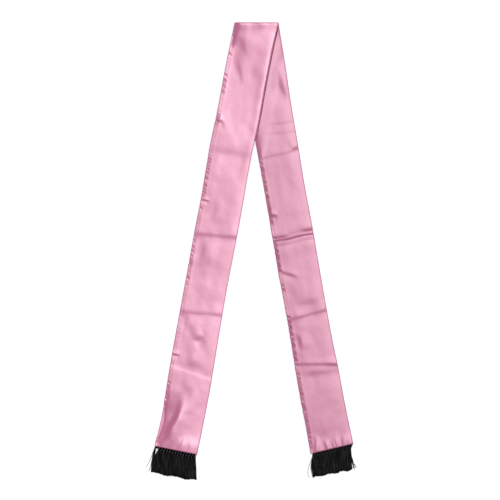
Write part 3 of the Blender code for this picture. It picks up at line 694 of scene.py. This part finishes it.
def cloth_columns(stretch):
    """Columns of the cut cloth's grid, round the tube from the seam over the top and back to the seam."""
    sewn = []
    for low, high in ((0.5, 1.0), (0.0, 0.5)):
        for i in range(SEWN_ROUND_STEPS):
            angle = math.radians(-90.0 + 180.0 * i / SEWN_ROUND_STEPS)
            inset = SEWN_ROUND * (1.0 - math.cos(angle))
            sewn.append((-HALF_WIDTH + inset, mix(low, high, 0.5 + 0.5 * math.sin(angle))))
    steps = UPPER_TOP_STEPS if stretch is UPPER else LOWER_TOP_STEPS
    start, end = SEWN_ROUND - HALF_WIDTH, HALF_WIDTH - FOLDED_ROUND
    ring = sewn[:SEWN_ROUND_STEPS] + [(u, 1.0) for u in spaced(start, end, steps, column_density)]
    for i in range(1, FOLDED_ROUND_STEPS):
        angle = math.radians(90.0 - 180.0 * i / FOLDED_ROUND_STEPS)
        inset = FOLDED_ROUND * (1.0 - math.cos(angle))
        ring.append((HALF_WIDTH - inset, 0.5 + 0.5 * math.sin(angle)))
    ring += [(mix(end, start, i / UNDER_STEPS), 0.0) for i in range(UNDER_STEPS)]
    ring += sewn[SEWN_ROUND_STEPS:] + sewn[:1]
    columns = []
    around = 0.0
    for (last_u, last_share), (u, share) in zip(ring[:1] + ring, ring):
        around += math.hypot(u - last_u, (share - last_share) * TUBE_THICKNESS)
        columns.append(Column(u, share, around))
    return columns


def groove_place(row):
    """The u where a row of the lower stretch comes out from under the upper one's folded edge."""
    u = 0.0
    for _ in range(GROOVE_PASSES):
        v = v_across(LOWER, row, u)
        u -= past_upper(place_of(LOWER, u, v), v) / math.cos(SPREAD_ANGLE)
    return u


def drawn_to_groove(column, groove):
    """A column of the lower stretch's top face, drawn in to the groove to give its sides enough faces."""
    start, end = SEWN_ROUND - HALF_WIDTH, HALF_WIDTH - FOLDED_ROUND

    def crowding(u):
        return u + GROOVE_COLUMNS * GROOVE_REACH * math.tanh((u - groove) / GROOVE_REACH)

    low, high = start, end
    wanted = mix(crowding(start), crowding(end), (column.u - start) / (end - start))
    for _ in range(HALVINGS):
        middle = (low + high) / 2
        if crowding(middle) < wanted:
            low = middle
        else:
            high = middle
    return column._replace(u=low, around=column.around + low - column.u)


def row_density(stretch, v):
    """More rows over the narrow creases that cross the stretch."""
    density = 1.0 + (OVERLAP_DENSITY if stretch is LOWER and v < OVERLAP_END else 0.0)
    for crease in stretch.creases:
        if crease.half_width < NARROW_CREASE and abs(crease.v_end - crease.v_start) < CROSSING_RUN:
            from_crease = v - (crease.v_start + crease.v_end) / 2
            density += bump(from_crease / (CROSSING_REACH * crease.half_width))
    return density


def cloth_rows(stretch):
    """Rows of the cut cloth's grid, from the turn underneath to the fringe."""
    rows = []
    along = 0.0
    if stretch is UPPER:
        for i in range(TURN_ROWS):
            rows.append(Row(TURN_DEPTH, TURN_DEPTH, math.pi * (1.0 - i / TURN_ROWS), along))
            along += math.pi * TURN_DEPTH / TURN_ROWS
    count = UPPER_ROWS if stretch is UPPER else LOWER_ROWS
    for v in spaced(stretch.start, stretch.v_end_sewn, count, lambda place: row_density(stretch, place)):
        share = (v - stretch.start) / (stretch.v_end_sewn - stretch.start)
        v_folded = mix(stretch.start, stretch.v_end_folded, share)
        rows.append(Row(v, v_folded, None, along + v - stretch.start))
    return rows


def to_world(stretch, point):
    """The place in the scene, in metres, of a point given in a stretch's frame in millimetres."""
    lean = stretch.side * stretch.angle
    x = point.x * math.cos(lean) - point.y * math.sin(lean)
    y = point.x * math.sin(lean) + point.y * math.cos(lean)
    return FOLD + Vector((x, y, point.z)) * MM


def mesh_of(name, bm):
    """Turn a bmesh into a named mesh."""
    mesh = bpy.data.meshes.new(name)
    bm.to_mesh(mesh)
    bm.free()
    return mesh


def add_object(name, data):
    """Put a named object into the scene."""
    item = bpy.data.objects.new(name, data)
    bpy.context.scene.collection.objects.link(item)
    return item


def finish_piece(name, bm, materials, node):
    """Turn a bmesh in the scene's own places into a named piece that stands for its solid."""
    mesh = mesh_of(name, bm)
    for material in materials:
        mesh.materials.append(material)
    mesh.shade_smooth()
    piece = add_object(name, mesh)
    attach(piece, BODY)
    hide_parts(node)
    return piece


def make_shell(name, stretch, material, node):
    """One stretch of the tube: flat cut cloth, wrapped, sewn along its seam and given a real wall."""
    columns = cloth_columns(stretch)
    rows = cloth_rows(stretch)
    PUCKERS_OF[stretch.side] = all_puckers(stretch)
    bm = bmesh.new()
    across, down = len(columns) - 1, len(rows) - 1
    bmesh.ops.create_grid(bm, x_segments=across, y_segments=down, size=1.0)
    cloth_map = bm.loops.layers.uv.new("cloth")
    grooves = [groove_place(row) if stretch is LOWER else None for row in rows]
    places = {}
    for vertex in bm.verts:
        column = columns[round((vertex.co.x + 1.0) / 2 * across)]
        index = round((vertex.co.y + 1.0) / 2 * down)
        if stretch is LOWER and column.share == 1.0 and grooves[index] > -SCARF_WIDTH:
            column = drawn_to_groove(column, grooves[index])
        places[vertex.index] = (column, rows[index])
    for face in bm.faces:
        for loop in face.loops:
            column, row = places[loop.vert.index]
            loop[cloth_map].uv = (column.around * MM, row.along * MM)
    for vertex in bm.verts:
        column, row = places[vertex.index]
        sewn = 1.0 - smoothstep((column.u + HALF_WIDTH) / PUCKER_REACH)
        inset = pucker_inset(stretch, row.v_sewn) * sewn
        column = column._replace(u=column.u + inset)
        vertex.co = to_world(stretch, cloth_point(stretch, row, column))
    bmesh.ops.remove_doubles(bm, verts=bm.verts, dist=0.00001)
    bmesh.ops.recalc_face_normals(bm, faces=bm.faces)
    shell = finish_piece(name, bm, [material], node)
    settings = bpy.context.scene.scarf_satin
    wall = shell.modifiers.new("cloth thickness", "SOLIDIFY")
    wall.thickness = settings.cloth_thickness
    wall.offset = -1.0
    return shell


def seam_v(stretch, x):
    """Place of the fringe seam down the stretch at x."""
    return mix(stretch.v_end_sewn, stretch.v_end_folded, (x + HALF_WIDTH) / SCARF_WIDTH)


def fringe_point(fringe, x, past_seam, z):
    """The place in the scene of a point of the fringe, from its distance past the seam."""
    return to_world(fringe.stretch, Vector((x, -seam_v(fringe.stretch, x) - past_seam, z)))


def cord_template(name, sides, stations, lobes, radius):
    """A straight cord of a given radius along y, from 0 to 1, drawn out of a circle in steps that turn."""
    bm = bmesh.new()
    bmesh.ops.create_circle(bm, cap_ends=False, segments=sides, radius=radius)
    edges = list(bm.edges)
    for vertex in bm.verts:
        angle = math.atan2(vertex.co.y, vertex.co.x)
        vertex.co *= 1.0 + lobes * math.cos(2.0 * angle)
        vertex.co = Vector((vertex.co.x, 0.0, vertex.co.y))
    for station in range(stations):
        grown = bmesh.ops.extrude_edge_only(bm, edges=edges)["geom"]
        edges = [item for item in grown if isinstance(item, bmesh.types.BMEdge)]
        moved = [item for item in grown if isinstance(item, bmesh.types.BMVert)]
        bmesh.ops.translate(bm, verts=moved, vec=(0.0, 1.0 / stations, 0.0))
        turned = Vector((0.0, (station + 1) / stations, 0.0))
        bmesh.ops.rotate(bm, verts=moved, cent=turned, matrix=CORD_TWIST)
    bmesh.ops.holes_fill(bm, edges=[edge for edge in bm.edges if edge.is_boundary], sides=sides)
    bmesh.ops.recalc_face_normals(bm, faces=bm.faces)
    return mesh_of(name, bm)


def add_cord(bm, fringe, template, route, sizes=(1.0, 1.0)):
    """Add a straight cord to a fringe's bmesh, bent along a route of (x, past seam, height) points. Its
    sizes stand at even steps along it."""
    before = len(bm.verts)
    bm.from_mesh(template)
    bm.verts.ensure_lookup_table()
    last = len(route) - 1
    for vertex in bm.verts[before:]:
        station = round(vertex.co.y * last)
        here = route[station]
        ahead = route[min(station + 1, last)]
        behind = route[max(station - 1, 0)]
        run = (ahead - behind).normalized()
        side = Vector((run.y, -run.x, 0.0)).normalized()
        rise = side.cross(run)
        spot = station / last * (len(sizes) - 1)
        index = min(int(spot), len(sizes) - 2)
        size = mix(sizes[index], sizes[index + 1], spot - index)
        vertex.co = fringe_point(fringe, *(here + side * vertex.co.x * size + rise * vertex.co.z * size))


def strand_route(fringe, line, layer, rng):
    """Points down one strand from inside the heading, as (x, distance past the seam, height)."""
    share = (line + HALF_WIDTH) / SCARF_WIDTH
    wave = math.sin(math.tau * fringe.waves * share + fringe.seed)
    length = mix(fringe.length_sewn, fringe.length_folded, share) + wave
    length += rng.uniform(*LENGTH_JITTER)
    root_x = line + fringe.heading_shift
    tip_x = line * fringe.spread + fringe.drift
    closing = 0.0
    if fringe.open_loop:
        past_loop = line + HEADING_HALF_WIDTH - OPEN_LOOP_WIDTH
        closing = OPEN_LOOP_CLOSING * (1.0 - smoothstep(past_loop / OPEN_LOOP_REACH))
    clump = (math.floor(tip_x / CLUMP_WIDTH + 0.5 * layer) + 0.5 - 0.5 * layer) * CLUMP_WIDTH
    pull = CLUMP_PULL * rng.uniform(*CLUMP_PULL_SHARES) if layer > 0 else 0.0
    tip_x += (clump - tip_x) * pull + rng.uniform(-TIP_JITTER, TIP_JITTER)
    length += CLUMP_RAGGEDNESS * noise.noise(Vector((CLUMP_VARIETY * clump, fringe.seed, layer)))
    sway = rng.uniform(-SWAY, SWAY)
    level = mix(STRAND_LOW, STRAND_HIGH, layer / (STRAND_LAYERS - 1))
    level = max(level + rng.uniform(-LEVEL_JITTER, LEVEL_JITTER), STRAND_LOW)
    fall = rng.uniform(*FALL_SHARES) * (level - STRAND_LOW)
    route = []
    for i in range(STRAND_STATIONS + 1):
        t = i / STRAND_STATIONS
        past = mix(HEADING_LENGTH - STRAND_TUCK, length, t)
        x = mix(root_x, tip_x, drift_at(fringe.drift_shares, t)) + sway * math.sin(math.pi * t)
        x -= closing * smoothstep((past - OPEN_LOOP_TOP) / (OPEN_LOOP_END - OPEN_LOOP_TOP))
        route.append(Vector((x, past, level - fall * smoothstep(t))))
    return route


def drift_at(shares, t):
    """The share of its drift that a strand has at t, from its shares at the places of the drift."""
    values = (0.0,) + shares
    index = min(bisect_right(DRIFT_PLACES, t), len(shares)) - 1
    start, end = DRIFT_PLACES[index:index + 2]
    return mix(values[index], values[index + 1], (t - start) / (end - start))


def stray_route(stray, z, shift):
    """Points of a strand that bows away from the others, shifted sideways from the line of its lock."""
    root = Vector((stray.x_root, stray.past_root, z))
    bow = Vector((stray.x_bow + shift, stray.past_bow, z))
    turn = Vector((stray.x_turn + shift, stray.past_turn, z))
    tip = Vector((stray.x_tip - shift, stray.past_tip + shift, STRAND_LOW))
    return interpolate_bezier(root, bow, turn, tip, STRAND_STATIONS + 1)


def loop_side_route(side, z):
    """Points of a strand on the outer side of the open loop, the outermost at 0 and the innermost at 1."""
    knots = []
    for outermost, innermost in zip(OPEN_LOOP_OUTERMOST, OPEN_LOOP_INNERMOST):
        knots.append(Vector((*outermost, z)).lerp(Vector((*innermost, z)), side))
    knots[-1].z = STRAND_LOW
    return interpolate_bezier(*knots, STRAND_STATIONS + 1)


def binding_route(past):
    """Points along a cord that binds the heading above its open loop."""
    start = Vector((-HEADING_HALF_WIDTH, past, 0.0)) + BINDING_START
    end = Vector((OPEN_LOOP_WIDTH - HEADING_HALF_WIDTH, past, 0.0)) + BINDING_END
    return [start.lerp(end, i / STRAND_STATIONS) for i in range(STRAND_STATIONS + 1)]


def rib_route(line, fringe):
    """Points down one slanted rib of the heading, over its top from inside the satin to the strands."""
    route = []
    for i in range(RIB_STATIONS + 1):
        t = i / RIB_STATIONS
        past = mix(-HEADING_TUCK, HEADING_LENGTH + RIB_OVERRUN, t)
        x = line + (fringe.heading_shift - RIB_SLANT) * (past / HEADING_LENGTH - 0.5)
        z = RIB_LEVEL - RIB_ROOT_DROP * bump(t) - RIB_END_DROP * bump(1.0 - t)
        route.append(Vector((x, past, z)))
    return route


def first_line(fringe):
    """Where the heading starts at the sewn edge, past its open loop if it has one."""
    return -HEADING_HALF_WIDTH + (OPEN_LOOP_WIDTH if fringe.open_loop else 0.0)


def make_tape(bm, fringe):
    """The woven tape under the ribs, a flat band with rounded edges."""
    made = bmesh.ops.create_cube(bm, size=1.0)["verts"]
    for face in {face for vertex in made for face in vertex.link_faces}:
        face.material_index = TAPE_MATERIAL
    for vertex in made:
        x = mix(first_line(fringe), HEADING_HALF_WIDTH, vertex.co.x + 0.5)
        past = mix(-HEADING_TUCK, HEADING_LENGTH - TAPE_INSET, vertex.co.y + 0.5)
        z = mix(TAPE_LOW, TAPE_HIGH, vertex.co.z + 0.5)
        vertex.co = fringe_point(fringe, x + fringe.heading_shift * past / HEADING_LENGTH, past, z)
    edges = list({edge for vertex in made for edge in vertex.link_edges})
    size = TAPE_BEVEL * MM
    bmesh.ops.bevel(bm, geom=edges, offset=size, affect="EDGES", segments=3, profile=0.5, material=-1)


def make_fringe(name, fringe, cords, node):
    """One fringe: a tape, the ribs of its heading, and the strands that hang from it in four layers."""
    settings = bpy.context.scene.scarf_fringe
    rng = random.Random(fringe.seed)
    bm = bmesh.new()
    rib = cord_template("rib", RIB_SIDES, RIB_STATIONS, RIB_LOBES, fringe.rib_radius)
    for face in rib.polygons:
        face.material_index = RIB_MATERIAL
    radius = settings.strand_diameter / MM / 2
    strand = cord_template("strand", STRAND_SIDES, STRAND_STATIONS, STRAND_LOBES, radius)
    ribs = RIB_COUNT - (1 if fringe.open_loop else 0)
    for i in range(ribs):
        line = mix(first_line(fringe) + RIB_INSET, HEADING_HALF_WIDTH - RIB_INSET, i / (ribs - 1))
        add_cord(bm, fringe, rib, rib_route(line, fringe), RIB_SIZES)
    count = settings.strands_in_a_layer
    for layer in range(STRAND_LAYERS):
        for i in range(count):
            share = (i + 0.5 + LAYER_SHIFT * layer) / (count + 1)
            line = mix(-HEADING_HALF_WIDTH, HEADING_HALF_WIDTH, share)
            if line >= first_line(fringe):
                add_cord(bm, fringe, strand, strand_route(fringe, line, layer, rng))
    for index, stray in enumerate(fringe.strays):
        level = STRAND_LOW + STRAY_LEVEL_STEP * index
        for i in range(stray.count):
            shift = STRAY_SPACING * (i - (stray.count - 1) / 2)
            add_cord(bm, fringe, strand, stray_route(stray, level, shift), STRAY_SIZES)
    if fringe.open_loop:
        for i in range(OPEN_LOOP_STRANDS):
            level = mix(STRAND_LOW, STRAND_HIGH, rng.random())
            add_cord(bm, fringe, strand, loop_side_route(i / (OPEN_LOOP_STRANDS - 1), level))
        for past in OPEN_LOOP_BINDING:
            add_cord(bm, fringe, strand, binding_route(past))
    bpy.data.meshes.remove(rib)
    bpy.data.meshes.remove(strand)
    make_tape(bm, fringe)
    return finish_piece(name, bm, cords, node)


def add_node(tree, kind, inputs=None, links=None, **settings):
    """Add a node with its settings, its input values and its links from other sockets."""
    node = tree.nodes.new(kind)
    for name, value in settings.items():
        setattr(node, name, value)
    for name, value in (inputs or {}).items():
        node.inputs[name].default_value = value
    for name, socket in (links or {}).items():
        tree.links.new(socket, node.inputs[name])
    return node


def stretched_noise(tree, place, scale, detail):
    """A noise pattern that repeats by the given scale along each axis."""
    stretched = add_node(tree, "ShaderNodeMapping", {"Scale": scale}, {"Vector": place})
    inputs = {"Scale": 1.0, "Detail": detail}
    links = {"Vector": stretched.outputs["Vector"]}
    return add_node(tree, "ShaderNodeTexNoise", inputs, links).outputs["Fac"]


def raised(tree, height, strength, distance):
    """A normal that shows a pattern as a relief of the given height in metres."""
    inputs = {"Strength": strength, "Distance": distance}
    return add_node(tree, "ShaderNodeBump", inputs, {"Height": height}).outputs["Normal"]


def mixed_colour(tree, first, second, share):
    """A colour between two others, by the share that a socket gives."""
    inputs = {MIX_FIRST: first, MIX_SECOND: second}
    node = add_node(tree, "ShaderNodeMix", inputs, {MIX_SHARE: share}, data_type="RGBA")
    return node.outputs[MIX_RESULT]


def new_material(name):
    """An empty node material and its tree."""
    material = bpy.data.materials.new(name)
    material.use_nodes = True
    material.node_tree.nodes.clear()
    return material, material.node_tree


def add_surface(tree, inputs, links=None):
    """Give a material its shader and its output."""
    shader = add_node(tree, "ShaderNodeBsdfPrincipled", inputs, links)
    add_node(tree, "ShaderNodeOutputMaterial", links={"Surface": shader.outputs["BSDF"]})


def polyester_satin(name, shade_factor, gloss):
    """Warp-faced polyester satin. Its long floats lie side by side down the scarf, so its face is smooth,
    its sheen is broad, and it shows every slope as a paler or a deeper pink."""
    settings = bpy.context.scene.scarf_satin
    material, tree = new_material(name)
    # Painted shade: the shade factor darkens the cloth and streak colours, which makes the lower stretch a
    # darker copy of the same satin
    cloth_colour = [channel * shade_factor for channel in settings.cloth_colour[:3]] + [1.0]
    streak_colour = [channel * shade_factor for channel in settings.streak_colour[:3]] + [1.0]
    cloth = add_node(tree, "ShaderNodeUVMap", uv_map="cloth").outputs["UV"]
    streaks = stretched_noise(tree, cloth, STREAK_SCALE, 3.0)
    threads = stretched_noise(tree, cloth, THREAD_SCALE, 1.0)
    warp = add_node(tree, "ShaderNodeTangent", direction_type="UV_MAP", uv_map="cloth")
    add_surface(
        tree,
        {
            "Roughness": settings.roughness,
            "IOR": 1.6,
            "Specular IOR Level": gloss,
            "Specular Tint": settings.gloss_colour,
            "Anisotropic": 0.35,
            "Sheen Weight": 0.35,
            "Sheen Roughness": 0.3,
            "Sheen Tint": settings.streak_colour,
        },
        {
            "Base Color": mixed_colour(tree, cloth_colour, streak_colour, streaks),
            "Normal": raised(tree, threads, settings.weave_strength, THREAD_HEIGHT),
            "Tangent": warp.outputs["Tangent"],
        },
    )
    return material


def rayon_cord(name, lock_colour, gloss):
    """Rayon, dyed black, as loose strands, as the thicker ribs or as the flat tape under them. Its twist
    scatters light, so it is a soft dark grey on the strands' tops. It goes quite black between them partly
    by real
    shade and partly by painted shade: the tape under the ribs is given the cord colour for its locks, so it
    is plain black."""
    settings = bpy.context.scene.scarf_fringe
    material, tree = new_material(name)
    place = add_node(tree, "ShaderNodeTexCoord").outputs["Object"]
    limits = {"From Min": LOCK_START, "From Max": LOCK_END}
    locks = {"Value": stretched_noise(tree, place, LOCK_SCALE, 2.0)}
    lock_share = add_node(tree, "ShaderNodeMapRange", limits, locks).outputs["Result"]
    dye = mixed_colour(tree, settings.cord_colour, lock_colour, lock_share)
    hairs = raised(tree, stretched_noise(tree, place, TWIST_SCALE, 2.0), TWIST_STRENGTH, TWIST_HEIGHT)
    inputs = {"Roughness": 0.36, "IOR": 1.5, "Specular IOR Level": gloss}
    add_surface(tree, inputs, {"Base Color": dye, "Normal": hairs})
    return material


def pale_paper():
    """Matt white paper sweep, which lights the scarf's edges from below."""
    settings = bpy.context.scene.scarf_studio
    material, tree = new_material("pale_paper")
    add_surface(tree, {"Base Color": settings.floor_colour, "Roughness": 0.9, "IOR": 1.4})
    return material


def add_sun(name, strength, spread, tilt):
    """A soft distant light from straight above, tilted towards +x and +y by the given degrees."""
    light = bpy.data.lights.new(name, "SUN")
    light.energy = strength
    light.angle = math.radians(spread)
    lamp = add_object(name, light)
    towards = Vector((math.tan(math.radians(tilt[0])), math.tan(math.radians(tilt[1])), 1.0))
    lamp.rotation_euler = towards.to_track_quat("Z", "Y").to_euler()
    lamp.location = towards.normalized() * LAMP_DISTANCE


def number_setting(name, description, default, **kind):
    """A number in the panel, with its unit or subtype."""
    return bpy.props.FloatProperty(name=name, description=description, default=default, **kind)


def colour_setting(name, description, hex_colour):
    """A colour in the panel, given by its sRGB hex digits."""
    return bpy.props.FloatVectorProperty(
        name=name, description=description, size=4, default=linear(hex_colour), subtype="COLOR"
    )


class ScarfSatin(bpy.types.PropertyGroup):
    """Sizes and colours of the satin."""

    cloth_thickness: number_setting(
        "Cloth thickness", "Thickness of one ply of the satin", 0.0003, unit="LENGTH"
    )
    cloth_colour: colour_setting("Cloth colour", "Dyed colour of the satin", "9E5071")
    streak_colour: colour_setting("Streak colour", "Colour of the slightly paler threads", "A85D7D")
    roughness: number_setting("Roughness", "Width of the satin's sheen", 0.30, subtype="FACTOR")
    gloss: number_setting("Gloss", "Strength of the satin's sheen", 0.87, subtype="FACTOR")
    gloss_colour: colour_setting("Gloss colour", "Tint that the dyed threads give the sheen", "FFDDE8")
    # Painted shade: the share of the cloth colour that the lower stretch keeps, so that it shows darker
    # than the upper one
    turned_shade_factor: number_setting(
        "Turned lustre",
        "How bright the lower stretch is, whose satin floats run the other way",
        0.87,
        subtype="FACTOR",
    )
    turned_gloss: number_setting(
        "Turned gloss", "Strength of the sheen on the lower stretch", 0.55, subtype="FACTOR"
    )
    weave_strength: number_setting("Weave strength", "How much the threads show", 0.25, subtype="FACTOR")


class ScarfFringe(bpy.types.PropertyGroup):
    """Sizes and colours of the fringes."""

    strand_diameter: number_setting(
        "Strand diameter", "Thickness of one cord of the fringe", 0.00082, unit="LENGTH"
    )
    strands_in_a_layer: bpy.props.IntProperty(
        name="Strands in a layer", description="Strands that hang side by side", default=112
    )
    strand_gloss: number_setting("Strand gloss", "Strength of the strands' shine", 0.07, subtype="FACTOR")
    rib_gloss: number_setting("Rib gloss", "Strength of the thicker ribs' shine", 0.4, subtype="FACTOR")
    cord_colour: colour_setting("Cord colour", "Dyed colour of the fringe", "050505")
    lock_colour: colour_setting("Lock colour", "Colour of the paler locks of strands", "232325")


class ScarfStudio(bpy.types.PropertyGroup):
    """Floor, lights and camera."""

    floor_colour: colour_setting("Floor colour", "Colour of the paper", "FAFAFA")
    key_strength: number_setting("Key light", "Strength of the overhead softbox", 1.55)
    ceiling_strength: number_setting("Ceiling light", "Strength of the wide light from above", 0.30)
    edge_strength: number_setting("Edge light", "Strength of the light on the rounded edges", 0.7)
    room_strength: number_setting("Room light", "Strength of the light from all round", 0.52)
    lens: number_setting("Lens", "Focal length of the camera in millimetres", 300.0)


class SCARF_OT_satin(bpy.types.Operator):
    """Wrap, sew and lay the two stretches of satin"""

    bl_idname = "scarf.satin"
    bl_label = "Satin"

    def execute(self, context):
        settings = context.scene.scarf_satin
        shade_factor, gloss = settings.turned_shade_factor, settings.turned_gloss
        satin = polyester_satin("polyester_satin", 1.0, settings.gloss)
        # The lower stretch's satin is a copy with painted shade in its colours, and with a weaker sheen
        shaded_satin = polyester_satin("polyester_satin_painted_shade", shade_factor, gloss)
        make_shell("satin_lower_shell", LOWER, shaded_satin, "satin_lower_stretch")
        make_shell("satin_upper_shell", UPPER, satin, "satin_upper_stretch")
        return {"FINISHED"}


class SCARF_OT_fringes(bpy.types.Operator):
    """Make the two fringes"""

    bl_idname = "scarf.fringes"
    bl_label = "Fringes"

    def execute(self, context):
        settings = context.scene.scarf_fringe
        cords = [
            rayon_cord("rayon_cord", settings.lock_colour, settings.strand_gloss),
            rayon_cord("rayon_rib_cord", settings.lock_colour, settings.rib_gloss),
            # Painted shade: the tape is plain black, without the paler locks, and has no gloss, so the gaps
            # between the ribs go black
            rayon_cord("rayon_tape_painted_shade", settings.cord_colour, 0.0),
        ]
        upper = make_fringe("fringe_upper_trim", UPPER_FRINGE, cords, "fringe_upper_end")
        lower = make_fringe("fringe_lower_trim", LOWER_FRINGE, cords, "fringe_lower_end")
        return {"FINISHED"}


class SCARF_OT_stage(bpy.types.Operator):
    """Set up the pale floor, the soft lights and the camera straight above"""

    bl_idname = "scarf.stage"
    bl_label = "Studio"

    def execute(self, context):
        settings = context.scene.scarf_studio
        bm = bmesh.new()
        bmesh.ops.create_grid(bm, x_segments=1, y_segments=1, size=FLOOR_SIZE / 2)
        bmesh.ops.translate(bm, verts=bm.verts, vec=(0.0, 0.0, -FLOOR_GAP * MM))
        floor = add_object("paper_floor", mesh_of("paper_floor", bm))
        floor.data.materials.append(pale_paper())
        add_sun("key_light", settings.key_strength, KEY_SPREAD, KEY_TILT)
        add_sun("ceiling_light", settings.ceiling_strength, CEILING_SPREAD, (0.0, 0.0))
        add_sun("edge_light", settings.edge_strength, EDGE_SPREAD, EDGE_TILT)

        world = bpy.data.worlds.new("studio_room")
        world.use_nodes = True
        background = world.node_tree.nodes["Background"]
        background.inputs["Color"].default_value = WHITE
        background.inputs["Strength"].default_value = settings.room_strength
        context.scene.world = world
        context.scene.view_settings.view_transform = "Standard"

        camera = add_object("camera", bpy.data.cameras.new("camera"))
        camera.data.lens = settings.lens
        camera.data.sensor_width = SENSOR_WIDTH
        camera.data.clip_end = CAMERA_REACH
        height = PHOTO_WIDTH * settings.lens / SENSOR_WIDTH
        camera.location = Vector((CAMERA_X, CAMERA_Y, height)) * MM
        context.scene.camera = camera
        return {"FINISHED"}


class SCARF_PT_panel(bpy.types.Panel):
    """The scarf's settings and steps"""

    bl_idname = "SCARF_PT_panel"
    bl_label = "Neck scarf"
    bl_space_type = "VIEW_3D"
    bl_region_type = "UI"
    bl_category = "Scarf"

    def draw(self, context):
        for settings in SETTINGS:
            group = getattr(context.scene, settings)
            box = self.layout.box()
            for name in group.bl_rna.properties.keys():
                if name not in {"rna_type", "name"}:
                    box.prop(group, name)
        for operator in ("scarf.satin", "scarf.fringes", "scarf.stage"):
            self.layout.operator(operator)


SETTINGS = {"scarf_satin": ScarfSatin, "scarf_fringe": ScarfFringe, "scarf_studio": ScarfStudio}
CLASSES = (*SETTINGS.values(), SCARF_OT_satin, SCARF_OT_fringes, SCARF_OT_stage, SCARF_PT_panel)


def register():
    """Register the classes and the settings that they share."""
    for item in CLASSES:
        bpy.utils.register_class(item)
    for name, group in SETTINGS.items():
        setattr(bpy.types.Scene, name, bpy.props.PointerProperty(type=group))


def unregister():
    """Take the settings and the classes away again."""
    for name in SETTINGS:
        delattr(bpy.types.Scene, name)
    for item in reversed(CLASSES):
        bpy.utils.unregister_class(item)


def main():
    """Build the scarf and its studio."""
    register()
    bpy.ops.scarf.satin()
    bpy.ops.scarf.fringes()
    bpy.ops.scarf.stage()


if __name__ == "__main__":
    main()
